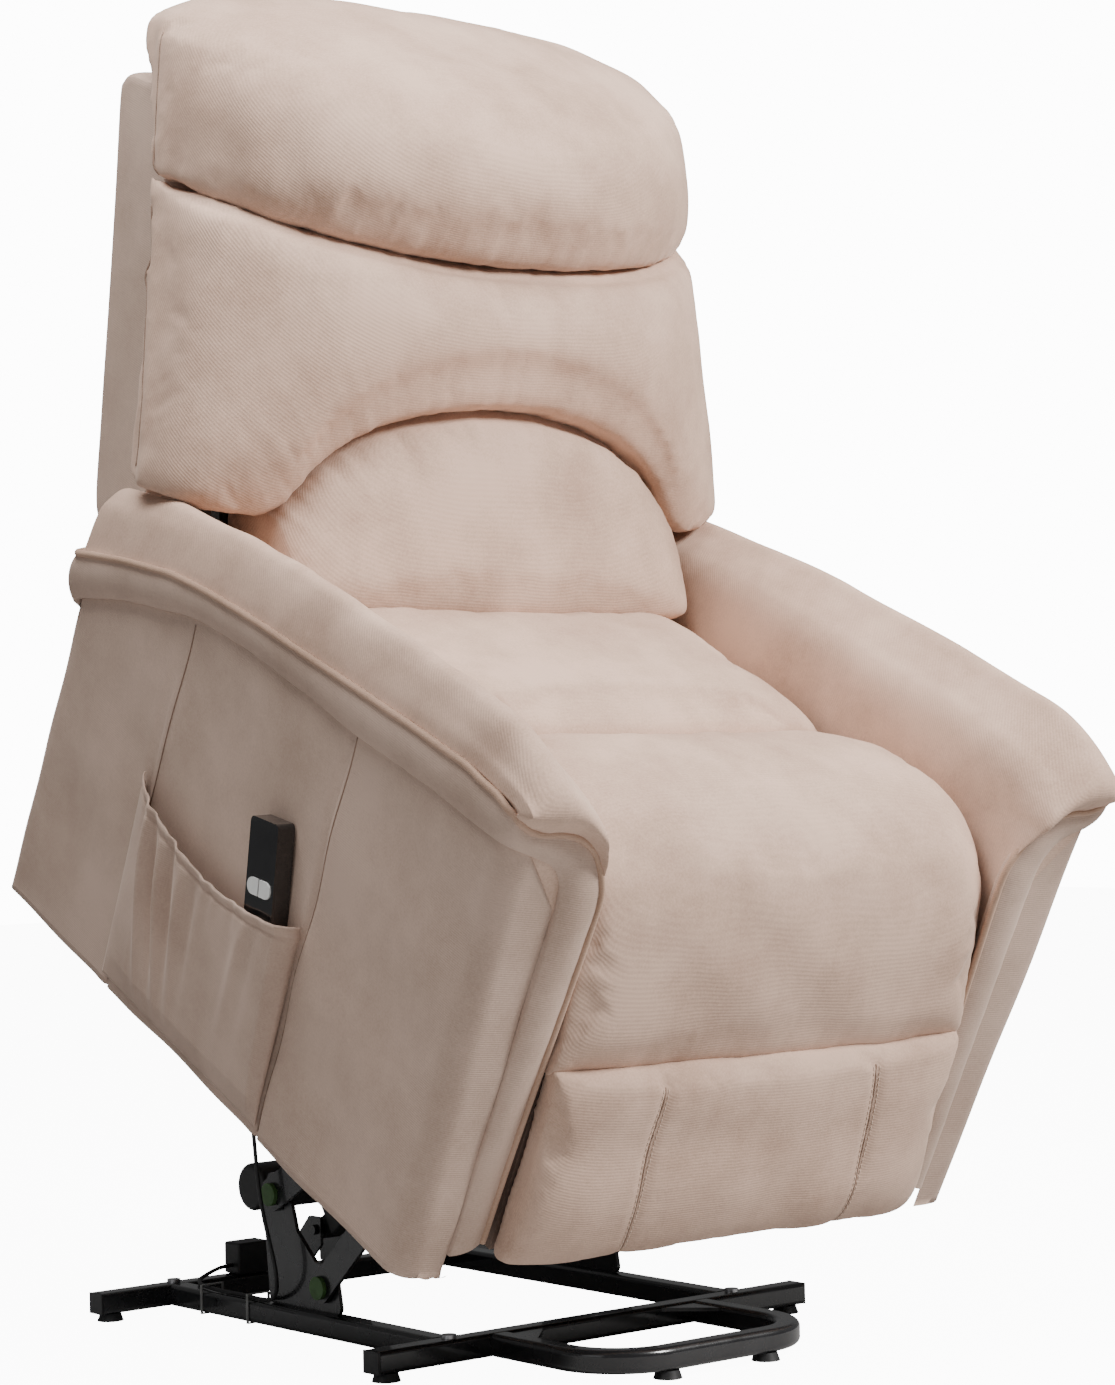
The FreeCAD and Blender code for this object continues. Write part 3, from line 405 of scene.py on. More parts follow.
def creep(points, size, scale, seed):
    """Slow uneven swelling of hand-sewn foam: a sum of sines over the points, about size metres high."""
    rng = np.random.default_rng(seed)
    total = np.zeros(len(points))
    for _ in range(7):
        wave = rng.normal(size=3) * 2 * math.pi / scale
        total += np.sin(points @ wave + rng.uniform(0, 6.28)) / 7 ** 0.5
    return size * total


def swell(obj, size, scale, seed):
    """Move a piece's points along their normals by the slow swelling of creep."""
    points = points_of(obj)
    move_points(obj, points + normals_of(obj) * creep(points, size, scale, seed)[:, None])


def cover(obj, body, *nodes):
    """The piece rides on a body and stands for these CAD nodes, which are hidden."""
    if nodes:
        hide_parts(*nodes)
    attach(obj, body)


# ---------------------------------------------------------------- control cable

CABLE_DIAMETER = 0.0048
CABLE_POINTS = [(-294, 214, 420), (-280, 216, 418), (-262, 221, 408), (-246, 230, 390), (-236, 240, 362),
                (-230, 247, 326), (-227, 251, 288), (-226, 250, 252), (-227, 244, 216), (-228, 238, 178),
                (-228, 229, 140), (-227, 216, 104), (-226, 208, 78), (-222, 211, 56), (-215, 229, 40),
                (-212, 258, 36.8), (-209, 296, 37.2), (-211, 336, 36.8), (-208, 372, 37.2),
                (-201, 402, 37), (-186, 427, 38), (-166, 441, 40), (-148, 449, 43), (-134, 451.5, 45),
                (-122.3, 452, 45)]


def cable_line():
    """Points on the NURBS curve that the cable follows."""
    curve = bpy.data.curves.new("cable_line", "CURVE")
    curve.dimensions = "3D"
    line = curve.splines.new("NURBS")
    line.points.add(len(CABLE_POINTS) - 1)
    for point, at in zip(line.points, CABLE_POINTS):
        point.co = (at[0] / 1000, at[1] / 1000, at[2] / 1000, 1)
    line.order_u, line.use_endpoint_u, line.resolution_u = 3, True, 8
    carrier = bpy.data.objects.new("cable_line", curve)
    bpy.context.collection.objects.link(carrier)
    bpy.context.view_layer.update()
    mesh = bpy.data.meshes.new_from_object(carrier)
    points = np.array([v.co for v in mesh.vertices])
    bpy.data.objects.remove(carrier)
    bpy.data.curves.remove(curve)
    bpy.data.meshes.remove(mesh)
    return points


cable_path = cable_line()
cable = tube("control_cable_jacket", cable_path, CABLE_DIAMETER / 2, JACKET, 12)
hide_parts("control_cable")
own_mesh(cable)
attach(cable, "base")

# ---------------------------------------------------------------- cushions

PROFILE_POINTS = 96


def lofted(name, centre, edge, half, finish, fall=(3.2, 2.0), shape=None, count=61):
    """A closed form from a middle profile to an edge profile on both sides.

    Both profiles are closed rings of (y, z) in the seat frame with matching points, and half gives the half
    width at each of those points.  Across the width the ring moves from the middle profile to the edge one
    as 1 - (1 - t^a)^(1/b), with t from 0 in the middle to 1 at the edge and (a, b) given by fall.
    shape(x, ring, share) may move a ring.
    """
    middle, rim = spline(centre, PROFILE_POINTS, True), spline(edge, PROFILE_POINTS, True)
    width = np.broadcast_to(np.asarray(half, float), (len(centre),))
    reach = np.interp(np.arange(PROFILE_POINTS) * len(centre) / PROFILE_POINTS, np.arange(len(centre) + 1),
                      np.append(width, width[0]))
    rings = []
    for angle in np.linspace(-math.pi / 2, math.pi / 2, count):
        t = math.sin(angle)
        share = 1 - (1 - abs(t) ** fall[0]) ** (1 / fall[1])
        ring = middle + (rim - middle) * share
        x = reach * t
        if shape is not None:
            ring = shape(x, ring, share)
        rings.append(to_row(np.column_stack([x, ring])))
    return grid_object(name, np.array(rings), finish, wrap_columns=True, caps=(0, count - 1))


def lay_on(obj, path, lift):
    """A path dropped on to the nearest points of a piece, lift metres above it."""
    points, normals = points_of(obj), normals_of(obj)
    out = []
    for p in path:
        near = np.argsort(((points - p) ** 2).sum(1))[:6]
        normal = normals[near].mean(0)
        normal /= np.linalg.norm(normal)
        out.append(p - normal * ((p - points[near].mean(0)) @ normal) + normal * lift)
    return np.array(out)


def seam_line(name, obj, path, body, depth=0.0022, width=0.005):
    """Press a seam into a finished cushion where a path lies nearest, and lay a thin dark tube in its groove as
    painted shade.
    """
    groove = lay_on(obj, even(path, 0.006), 0)
    sew(obj, [Seam(groove, depth, width, gather=0.0004, spacing=0.022, reach=0.02)])
    # Painted shade: a thin dark tube along the bottom of the groove.
    laid = spline(lay_on(obj, even(path, 0.02), -0.0002), 400)
    cover(tube(name, even(laid, 0.004), 0.0011, PAINTED_SEAM_SHADE, 8), body)


def across_seam(half, point, count=81):
    """A seam across a cushion: point(x) gives its (y, z) in the seat frame."""
    return to_row([(x, *point(x)) for x in np.linspace(-half, half, count)])


def finish_cushion(obj, body, node, seams, seed, voxel=0.006, cap=0.007):
    """Stuff, sew and smooth a cushion, and let it stand for its CAD solid."""
    stuff(obj, voxel, cap)
    swell(obj, 0.0012, 0.22, seed)
    sew(obj, seams)
    soften(obj)
    cover(obj, body, node)


HEAD_SEAM_Z, HEAD_SEAM_RISE = 820, 22
FALL_IN, FALL_OUT = 2.5, 0.56
BACK_FALL = (FALL_IN, 1 / FALL_OUT)


def side_curve(t):
    """How far a cushion's front has turned back at t of its half width, from 0 to 1."""
    return 1 - (1 - min(abs(t), 1) ** FALL_IN) ** FALL_OUT


def seam_rise(x):
    """How much higher the head pillow's lower seam runs towards the sides."""
    return HEAD_SEAM_RISE * (x / 384) ** 2


def head_seam(x):
    """Depth and height of the seam under the head pillow."""
    return 700 + 184 * side_curve(x / 380), HEAD_SEAM_Z + float(seam_rise(x))


def arch_height(x):
    """The lumbar cushion's upper seam, over the middle of the back."""
    x = np.abs(x)
    return np.interp(x, [0, 60, 120, 170, 215, 245, 268, 286, 300],
                     [676, 673, 662, 646, 622, 598, 572, 548, 540])


def wing_bottom(x):
    """The lower edge of the middle cushion: the arch, then the wings over the arms."""
    x = np.abs(x)
    return np.interp(x, [0, 60, 120, 170, 215, 245, 268, 286, 312, 360, 400],
                     [678, 675, 664, 648, 624, 600, 573, 553, 542, 538, 542])


def wing_seam(x):
    """Depth and height of the seam along the middle cushion's lower edge."""
    return 632 + 112 * side_curve(x / 408), float(wing_bottom(x))


def wing_shape(x, ring, share):
    """Raise the lower part of a ring to follow the arch."""
    base, top = 568.0, HEAD_SEAM_Z - 4
    weight = np.clip((top - ring[:, 1]) / (top - base), 0, 1)
    lift = (wing_bottom(x) - base) * weight ** 1.2
    return np.column_stack([ring[:, 0] + 0.36 * lift, ring[:, 1] + lift + (1 - weight) * seam_rise(x)])


def pillow_shape(x, ring, share):
    """Raise the lower part of a ring with the seam it is sewn to, and lean its upper part back."""
    weight = np.clip((960 - ring[:, 1]) / 130, 0, 1)
    lean = 34 * np.clip((ring[:, 1] - 830) / 150, 0, 1)
    height = ring[:, 1] + np.mean(seam_rise(x)) * weight + 0.2 * lean * (1 - share)
    return np.column_stack([ring[:, 0] + lean, height])


head_pillow = lofted(
    "head_pillow_cover",
    [(868, 820), (790, 820), (716, 822), (690, 840), (680, 880), (684, 920), (702, 956), (738, 984),
     (800, 1008), (880, 1024), (960, 1030), (1010, 1026), (1038, 1002), (1042, 972), (1018, 950),
     (940, 944), (906, 900)],
    [(906, 822), (900, 820), (892, 822), (898, 850), (910, 880), (920, 920), (928, 954), (934, 978),
     (942, 981), (952, 986), (962, 986), (970, 981), (974, 982), (972, 966), (966, 952), (956, 930),
     (934, 880)],
    [378, 377, 375, 374, 373, 372, 370, 367, 363, 359, 356, 356, 357, 359, 362, 366, 372],
    CUSHION_VELVET, BACK_FALL, pillow_shape)
finish_cushion(head_pillow, "back", "head_pillow", [
    Seam(across_seam(382, head_seam), depth=0.004, width=0.008, gather=0.0014, spacing=0.034, reach=0.045)],
    seed=3)

mid_cushion = lofted(
    "mid_back_cover",
    [(868, 816), (780, 818), (712, 818), (674, 802), (646, 766), (626, 720), (610, 670), (596, 620),
     (594, 584), (610, 566), (660, 564), (728, 564), (762, 574), (790, 650), (830, 740)],
    [(896, 816), (890, 820), (882, 820), (870, 800), (856, 764), (830, 720), (794, 670), (758, 620),
     (732, 584), (726, 568), (732, 562), (746, 564), (766, 578), (802, 650), (856, 740)],
    [380, 380, 380, 381, 385, 393, 403, 413, 420, 420, 418, 415, 411, 402, 390],
    CUSHION_VELVET, BACK_FALL, wing_shape)
finish_cushion(mid_cushion, "back", "mid_back_cushion", [
    Seam(across_seam(384, head_seam), depth=0.004, width=0.008, gather=0.0014, spacing=0.034, reach=0.05),
    Seam(across_seam(404, wing_seam), depth=0.003, width=0.008, gather=0.0014, spacing=0.030, reach=0.05)],
    seed=5)


# The boxing seams down the sides of both cushions: (x, depth, height) upwards.
HEAD_SIDE = ((377, 886, 832), (376, 896, 850), (375, 914, 882), (373, 936, 926), (371, 953, 962),
             (366, 964, 990))
MID_SIDE = ((415, 732, 560), (414, 746, 592), (411, 762, 620), (402, 798, 670), (392, 832, 720),
            (384, 858, 764), (379, 878, 812))
for side, sign in SIDES:
    for label, pillow, line in (("head", head_pillow, HEAD_SIDE), ("mid", mid_cushion, MID_SIDE)):
        path = to_row([(sign * x, y, z) for x, y, z in line])
        seam_line(f"{side}_{label}_side_seam_shade", pillow, path, "back")


def lumbar_shape(x, ring, share):
    """Lower the top of a ring to follow the arch."""
    top = 672.0
    weight = np.clip((ring[:, 1] - 470) / (top - 470), 0, 1)
    lowered = ring.copy()
    drop = (arch_height(x) - 4 - top) * weight
    lowered[:, 1] += drop
    lowered[:, 0] += drop * 0.30
    return lowered


lumbar = lofted(
    "lumbar_cover",
    [(770, 672), (720, 674), (664, 672), (630, 660), (602, 628), (576, 588), (548, 544), (524, 502),
     (520, 476), (540, 462), (620, 462), (690, 466), (720, 520), (745, 600)],
    [(770, 672), (724, 674), (680, 672), (656, 660), (634, 628), (610, 588), (586, 544), (566, 502),
     (562, 476), (576, 462), (632, 462), (690, 466), (720, 520), (745, 600)],
    [290, 290, 290, 290, 290, 290, 289, 288, 288, 287, 287, 287, 288, 290],
    CUSHION_VELVET, (3.0, 2.0), lumbar_shape)
finish_cushion(lumbar, "back", "lumbar_cushion", [
    Seam(across_seam(284, lambda x: (648, float(arch_height(x)))), depth=0.003, width=0.008, gather=0.0016,
         spacing=0.030, reach=0.045)], seed=8, cap=0.004)


def seat_joint(x):
    """Depth and height of the seam where the seat cushion meets the front roll."""
    return 268, 462 - 26 * side_curve(x / 280)


seat_cushion = lofted(
    "seat_cover",
    [(270, 300), (266, 420), (269, 452), (290, 470), (340, 480), (420, 484), (500, 486), (552, 484),
     (572, 462), (570, 380), (566, 290), (540, 268), (420, 266), (300, 268)],
    [(276, 300), (270, 400), (274, 428), (294, 444), (340, 450), (420, 448), (500, 446), (550, 444),
     (566, 420), (562, 370), (560, 290), (536, 272), (420, 270), (304, 272)],
    288, SEAT_VELVET, (3.6, 2.0))
finish_cushion(seat_cushion, "seat", "seat_cushion", [
    Seam(across_seam(278, seat_joint), depth=0.002, width=0.007, gather=0.0010, spacing=0.045, reach=0.04)],
    seed=11)

bolster = lofted(
    "bolster_cover",
    [(262, 300), (268, 420), (262, 452), (240, 472), (200, 488), (140, 494), (80, 490), (34, 474),
     (0, 446), (-26, 404), (-42, 350), (-49, 290), (-52, 244), (-38, 227), (16, 236), (60, 262),
     (160, 266), (240, 268)],
    [(258, 300), (262, 400), (256, 424), (236, 444), (200, 458), (140, 468), (84, 464), (42, 450),
     (10, 424), (-14, 386), (-31, 340), (-40, 290), (-46, 244), (-34, 225), (18, 240), (60, 266),
     (160, 270), (238, 272)],
    289, SEAT_VELVET, (3.6, 2.0))
finish_cushion(bolster, "seat", "seat_bolster", [
    Seam(across_seam(278, seat_joint), depth=0.002, width=0.007, gather=0.0012, spacing=0.045, reach=0.045),
    Seam(across_seam(286, lambda x: (-42, 229)), depth=0.001, width=0.006, gather=0.0010, spacing=0.04,
         reach=0.03)], seed=13)

footrest = lofted(
    "footrest_cover",
    [(-24, 238), (-38, 248), (-57, 240), (-66, 200), (-70, 160), (-77, 120), (-80, 84), (-77, 50),
     (-68, 24), (-54, 14), (-36, 16), (-28, 26), (-27, 80), (-27, 160)],
    [(-24, 236), (-34, 247), (-46, 238), (-49, 200), (-48, 160), (-49, 120), (-50, 84), (-50, 50),
     (-48, 28), (-42, 20), (-34, 20), (-28, 28), (-27, 80), (-27, 160)],
    290, CUSHION_VELVET, (4.0, 2.2))


def leg_seam(side, offset):
    """A bowed, double-stitched seam down the footrest, offset mm outwards from its middle line."""
    z = np.linspace(18, 226, 60)
    bow = 150 + 7 * np.sin((z - 18) / 208 * math.pi)
    y = -64 - 18 * np.sin((z - 10) / 226 * math.pi) ** 0.8
    return to_row(np.column_stack([side * (bow + offset), y, z]))


finish_cushion(footrest, "footrest", "footrest_pad", [
    Seam(leg_seam(side, 0), depth=0.0045, width=0.007, gather=0.0005, spacing=0.03, reach=0.02)
    for _, side in SIDES], seed=17, voxel=0.005, cap=0.008)


def stitches(name, path, body, length=0.0042, gap=0.0022, radius=0.0007):
    """A row of thread stitches along a path, as one piece of small round-ended bars."""
    path = even(path, length + gap)
    verts, faces = [], []
    angle = np.linspace(0, 2 * math.pi, 6, endpoint=False)[:, None]
    for a, b in zip(path[:-1], path[1:]):
        way = (b - a) / np.linalg.norm(b - a)
        side_way = np.cross(way, (0.3, 0.5, 0.81))
        side_way /= np.linalg.norm(side_way)
        up_way = np.cross(way, side_way)
        start = len(verts) * 6
        for at, size in ((0, 0.4), (0.15, 1), (0.85, 1), (1, 0.4)):
            centre = a + way * (length * at)
            verts.append(centre + radius * size * (np.cos(angle) * side_way + np.sin(angle) * up_way))
        faces += grid_faces(4, 6, wrap_columns=True, start=start)
        faces += [[start + k for k in range(5, -1, -1)], [start + 18 + k for k in range(6)]]
    cover(mesh_object(name, np.concatenate(verts), faces, THREAD), body)


for side_name, side in SIDES:
    # Painted shade: a thin dark tube in each leg seam's groove; the stitch rows beside it are thread.
    middle_line = lay_on(footrest, leg_seam(side, 0), -0.0002)
    cover(tube(side_name + "_leg_seam_shade", middle_line, 0.0010, PAINTED_SEAM_SHADE, 8), "footrest")
    for row_name, offset in (("inner", -3.2), ("outer", 3.2)):
        row_line = lay_on(footrest, leg_seam(side, offset), 0.0004)
        stitches(f"{side_name}_{row_name}_leg_stitches", row_line, "footrest")

# ---------------------------------------------------------------- arms

# (depth, height) along the arm, front to rear: outer piping, outer top, inner crown, band's lower seam.
PIPING_LINE = ((-28, 520), (-4, 527), (52, 533), (144, 529), (238, 523), (336, 516), (432, 510), (532, 500),
               (597, 490), (686, 466), (766, 440), (790, 431))
TOP_LINE = ((-28, 562), (8, 582), (70, 590), (224, 587), (429, 577), (556, 564), (688, 545), (765, 524),
            (790, 517))
CROWN_LINE = ((-28, 528), (19, 544), (93, 550), (155, 551), (282, 547), (382, 543), (529, 536), (643, 522),
              (700, 510), (790, 488))
BAND_LINE = ((0, 482), (31, 482), (117, 481), (230, 474), (325, 474), (444, 471), (550, 460), (686, 419),
             (779, 380), (806, 368))
FRONT_Y, NOSE_START, NOSE_PUFF, ARM_REAR = -28.0, 66.0, 30, 779.0
PANEL_SEAMS = (247.0, 572.0)
PANEL_FOOT_X, PANEL_FOOT_REAR, REAR_LEAN = 392, 803, 24 / 379

# The arm's front edge, from the inner foot up and round to the outer corner: (x, height) of the piping.
FRONT_PIPING = [(300, 38), (297, 150), (292, 250), (288, 330), (285, 400), (286, 436), (292, 452),
                (302, 468), (314, 482), (334, 495), (359, 501), (380, 502), (396, 505), (408, 511),
                (417, 518), (421, 524)]
# Facing pairs on the piping and on the seam of the front strip, from the outer corner down to the foot.
STRIP_PAIRS = [((421, 2, 529), (411.5, 2, 482)), ((420.5, -14, 525), (409, -12, 482)),
               ((416, -26, 517), (401, -23, 481)), ((403, -29, 508), (389, -28, 478)),
               ((385, -29, 502), (374, -28.5, 473)), ((359, -29, 501), (360, -28.5, 466)),
               ((334, -29, 495), (349, -28.5, 456)), ((311, -29, 480), (341, -28.5, 441)),
               ((295, -29, 456), (338, -28.5, 424)), ((286, -29, 432), (337, -28.5, 400)),
               ((285, -29, 400), (337, -28.5, 370)), ((288, -29, 330), (337, -28.5, 310)),
               ((292, -29, 250), (337, -28.5, 240)), ((297, -29, 150), (337, -28.5, 145)),
               ((300, -29, 38), (337, -28.5, 25))]


def along(line, y):
    """The height of one of the arm's lines at depth y."""
    return np.interp(y, [p[0] for p in line], [p[1] for p in line])


def pad_section(y):
    """Across the arm pad at depth y: up the inner face, over the crown and down to the outer piping."""
    piping, top, crown = along(PIPING_LINE, y), along(TOP_LINE, y), along(CROWN_LINE, y)
    return np.array([(300, 20), (300, 150), (300, 280), (300, crown - 150), (300, crown - 100),
                     (303, crown - 60), (311, crown - 28), (324, crown - 7), (342, crown + 6),
                     (362, 0.45 * crown + 0.55 * top), (380, top - 3), (394, top - 4), (405, top - 15),
                     (413, top - 30), (419, piping + 16), (421, piping + 2)], float)


def pad_underside(y):
    """The hidden side of the pad at depth y, from the piping back to the foot of the inner face."""
    piping, crown = along(PIPING_LINE, y), along(CROWN_LINE, y)
    return np.array([(412, piping - 4), (396, piping - 26), (335, crown - 120), (318, 200), (318, 20)])


def arm_pad(side, sign):
    """The arm's inner face, top and rolled nose, closed underneath where nothing shows."""
    columns = 110
    rings = []
    for y in np.linspace(ARM_REAR, NOSE_START, 76):
        ring = np.vstack([spline(pad_section(y), columns), pad_underside(y)])
        lean = (y - NOSE_START) / (ARM_REAR - NOSE_START)
        depth = y + lean * 24 * (1 - ring[:, 1] / 379)
        rings.append(np.column_stack([ring[:, 0], depth, ring[:, 1]]))
    start = np.vstack([spline(pad_section(NOSE_START), columns), pad_underside(NOSE_START)])
    end = np.vstack([spline(FRONT_PIPING, columns),
                     [(414, 512), (398, 488), (350, 430), (330, 200), (322, 38)]])
    share = np.linspace(0, 1, len(start))
    fullness = np.clip((share - 0.25) / 0.2, 0, 1) * np.clip((1 - share) / 0.12, 0.25, 1)
    for v in np.linspace(0, 1, 30)[1:]:
        turn = v * math.pi / 2
        ring = start + (end - start) * (1 - math.cos(turn))
        puff = NOSE_PUFF * fullness * math.sin(math.pi * v ** 1.7)
        depth = NOSE_START - (NOSE_START - FRONT_Y) * math.sin(turn) - puff
        depth[columns:] += 9 * v
        rings.append(np.column_stack([ring[:, 0], depth, ring[:, 1]]))
    grid = np.array(rings)
    first = grid[0]
    middle = first.mean(0)
    rear_round = ((0.90, 9), (0.97, 5), (0.995, 2))
    ends = [middle + (first - middle) * shrink + (0, push, 0) for shrink, push in rear_round]
    grid = np.concatenate([np.array(ends), grid])
    grid[..., 0] *= sign
    pad = grid_object(side + "_arm_pad", to_row(grid).reshape(grid.shape), CUSHION_VELVET, wrap_columns=True,
                      caps=(0, len(grid) - 1), flip=sign < 0)
    swell(pad, 0.0008, 0.16, seed=21 if sign > 0 else 22)
    nose = to_row([(sign * x, FRONT_Y, z) for x, z in spline(FRONT_PIPING, 160)[40:]])
    outer = to_row([(sign * 421, y, along(PIPING_LINE, y)) for y in np.linspace(FRONT_Y, ARM_REAR, 220)])
    sew(pad, [Seam(nose, depth=0.0010, width=0.006, gather=0.0010, spacing=0.030, reach=0.026),
              Seam(outer, depth=0.0012, width=0.005, gather=0.0001, spacing=0.05, reach=0.02)])
    soften(pad)
    cover(pad, "seat", side + "_inner_panel", side + "_arm_cap")


def band_pairs():
    """Facing points on the piping and on the seam below it, from the arm's rear corner to its front foot."""
    upper = [(340, 789, 444), (385, 790, 438), (412, 789, 433)]
    lower = [(340, 792, 362), (385, 793, 364), (404, 792, 367)]
    for y in np.linspace(ARM_REAR + 4, 24, 26):
        upper.append((421, y, along(PIPING_LINE, y)))
        low = along(BAND_LINE, y)
        lower.append((PANEL_FOOT_X + low * FLARE + 1.5, y, low))
    upper += [p[0] for p in STRIP_PAIRS]
    lower += [p[1] for p in STRIP_PAIRS]
    return spline(upper, 420), spline(lower, 420)


def arm_band(side, sign):
    """The puffed band along the outer edge, which turns the front corner and becomes the front strip."""
    upper, lower = band_pairs()
    tangent = np.gradient((upper + lower) / 2, axis=0)
    outward = np.cross(tangent, lower - upper)
    outward /= np.linalg.norm(outward, axis=1)[:, None]
    facing = outward[:, 0] + np.where(upper[:, 1] > ARM_REAR + 2, outward[:, 1], -outward[:, 1])
    outward *= np.where(facing > 0, 1, -1)[:, None]
    width = np.linalg.norm(lower - upper, axis=1)[:, None]
    rows = []
    for v in np.linspace(-0.06, 1.06, 26):
        inside = min(max(v, 0), 1)
        rise = 0.17 * width * math.sin(math.pi * inside) ** 0.62
        tuck = -6 if v < 0 or v > 1 else 0
        rows.append(upper + (lower - upper) * inside + outward * (rise + tuck))
    grid = np.array(rows)
    grid[..., 0] *= sign
    # The band wears the side velvet, darkened as painted shade.
    band = grid_object(side + "_arm_band", to_row(grid).reshape(grid.shape), SHADED_SIDE_VELVET, flip=sign > 0)
    swell(band, 0.0004, 0.10, seed=31 if sign > 0 else 32)
    edge, seam = to_row(upper * (sign, 1, 1)), to_row(lower * (sign, 1, 1))
    sew(band, [Seam(edge, depth=0.0012, width=0.004, gather=0.0001, spacing=0.030, reach=0.012),
               Seam(seam, depth=0.0006, width=0.004, gather=0.0002, spacing=0.034, reach=0.012)])
    cover(band, "seat", side + "_arm_front")


def panel_plan(z):
    """The outer panel from above at height z: front strip seam, rounded corner, side, rear, inner edge."""
    outer = PANEL_FOOT_X + z * FLARE
    rear = PANEL_FOOT_REAR - REAR_LEAN * z
    beside_seam = np.array([-9, -5, -3, -1.6, 0, 1.6, 3, 5, 9])
    side = np.unique(np.concatenate([np.linspace(8, 798, 72)] + [at + beside_seam for at in PANEL_SEAMS]))
    points = [(x, -27.5) for x in (337, 344, 352, 358)]
    points += [(outer - 28 + 28 * math.cos(a), 0.5 + 28 * math.sin(a))
               for a in np.radians(np.linspace(-90, 0, 12))]
    points += [(outer, y * rear / PANEL_FOOT_REAR) for y in side]
    points += [(outer - 1.5, rear + 1)] + [(x, rear + 2) for x in (outer - 6, outer - 30, 350, 301)]
    return np.array(points)


def plan_at(heights):
    """The panel's plan with each point taken at its own height."""
    low, high = panel_plan(0), panel_plan(500)
    return low + (high - low) * (heights / 500)[:, None]


# The seam between the outer panel and the front strip, by x, and the tucks of the panel's lower edge.
STRIP_SEAM_X = (337, 338, 341, 349, 360, 374, 389, 401, 412)
STRIP_SEAM_Z = (424, 432, 441, 456, 466, 473, 478, 481, 482)
FOOT_TUCKS = (8.4, 5.04)


def side_panel(side, sign):
    """The arm's outer panel and front post: its plan carried up with the flare, seams pressed in."""
    foot, upper = panel_plan(0), panel_plan(476)
    strip_seam = np.interp(upper[:, 0], STRIP_SEAM_X, STRIP_SEAM_Z)
    top = np.where(upper[:, 1] <= 1, strip_seam, along(BAND_LINE, upper[:, 1]))
    rows = [np.column_stack([foot - (tuck, 0), np.full(len(foot), 0.2)]) for tuck in FOOT_TUCKS]
    for v in np.linspace(0, 1, 60):
        z = v * (top + 5)
        rows.append(np.column_stack([plan_at(z), z + 2 - 1.8 * math.exp(-(v * 30) ** 2)]))
    grid = np.array(rows)
    seam_press = np.zeros(grid.shape[:2])
    for seam in PANEL_SEAMS:
        seam_press += 3.0 * np.exp(-((grid[..., 1] - seam) / 2.2) ** 2)
        seam_press -= 0.9 * np.exp(-((np.abs(grid[..., 1] - seam) - 11) / 7) ** 2)
    on_side = (grid[..., 0] > 385) & (grid[..., 1] > 4)
    grid[..., 0] -= np.where(on_side, seam_press, 0)
    grid[..., 0] *= sign
    panel = grid_object(side + "_outer_panel", to_row(grid).reshape(grid.shape), SHADED_SIDE_VELVET, flip=sign < 0)
    swell(panel, 0.0012, 0.20, seed=41 if sign > 0 else 42)
    cover(panel, "seat", side + "_side_panel")
    # Painted shade: a thin dark tube laid in each panel seam's groove.
    for number, seam in enumerate(PANEL_SEAMS):
        z = np.linspace(8, along(BAND_LINE, seam) - 2, 90)
        y = seam * (1 - REAR_LEAN * z / PANEL_FOOT_REAR)
        line = lay_on(panel, to_row(np.column_stack([sign * (PANEL_FOOT_X + z * FLARE), y, z])), 0.0001)
        cover(tube(f"{side}_panel_seam_shade_{number}", line, 0.0009, PAINTED_SEAM_SHADE, 8), "seat")


def arm_piping(side, sign):
    """Cord-filled piping along the outer edge, round the corner and down the inner front edge."""
    upper, _ = band_pairs()
    path = upper * (sign, 1, 1)
    path[:, 1] -= np.where(path[:, 1] < -20, 2.4, 0)
    path[:, 0] += sign * np.where((path[:, 1] > -20) & (path[:, 1] < ARM_REAR + 5), 2.8, 0)
    path[:, 1] += np.where(path[:, 1] > ARM_REAR + 5, 2.0, 0)
    # The piping's velvet is darkened as painted shade along the cord.
    cover(tube(side + "_arm_piping", to_row(even(path, 5)), 0.0040, SHADED_PIPING_VELVET), "seat")


for side, sign in SIDES:
    arm_pad(side, sign)
    arm_band(side, sign)
    side_panel(side, sign)
    arm_piping(side, sign)

# ---------------------------------------------------------------- back shell, rear panel and flap

back_shell = lofted(
    "back_shell_cover",
    [(798, 440), (840, 437), (892, 438), (930, 540), (972, 670), (1012, 790), (1046, 892), (1050, 914),
     (1036, 924), (1000, 928), (952, 928), (920, 860), (870, 750), (822, 640), (799, 578), (797, 510)],
    [(801, 444), (840, 442), (886, 443), (922, 540), (964, 670), (1004, 790), (1038, 886), (1038, 904),
     (1026, 914), (996, 918), (954, 918), (924, 856), (876, 750), (828, 640), (803, 576), (800, 510)],
    344, SHADED_SIDE_VELVET, (16, 2.0))
soften(back_shell)
cover(back_shell, "back", "back_shell")

rear_cover = lofted(
    "rear_cover",
    [(787, 16), (793, 14), (799, 18), (800, 90), (800, 220), (799, 296), (793, 300), (787, 298),
                   (787, 200), (787, 100)],
    [(788, 20), (793, 18), (797, 22), (798, 90), (798, 220), (797, 292), (793, 296), (788, 294),
     (788, 200), (788, 100)], 298, SHADED_SIDE_VELVET, (16, 2.0))
cover(rear_cover, "seat", "rear_panel")


def rear_flap():
    """The loose cloth between the rear of the seat and the back's shell, sagging a little between them."""
    x = np.linspace(-268, 268, 60)
    v = np.linspace(0, 1, 24)
    across_grid, up_grid = np.meshgrid(x, v, indexing="ij")
    sag = np.sin(math.pi * up_grid) * (5 + 1.6 * np.sin(across_grid / 19 + 3 * up_grid))
    points = np.stack([across_grid, 792 + 76 * up_grid - 0.85 * sag, 303 + 129 * up_grid + 0.5 * sag], -1)
    flap = grid_object("rear_flap_cloth", to_row(points).reshape(points.shape), BROWN_CLOTH)
    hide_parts("rear_flap")
    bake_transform(flap)


rear_flap()

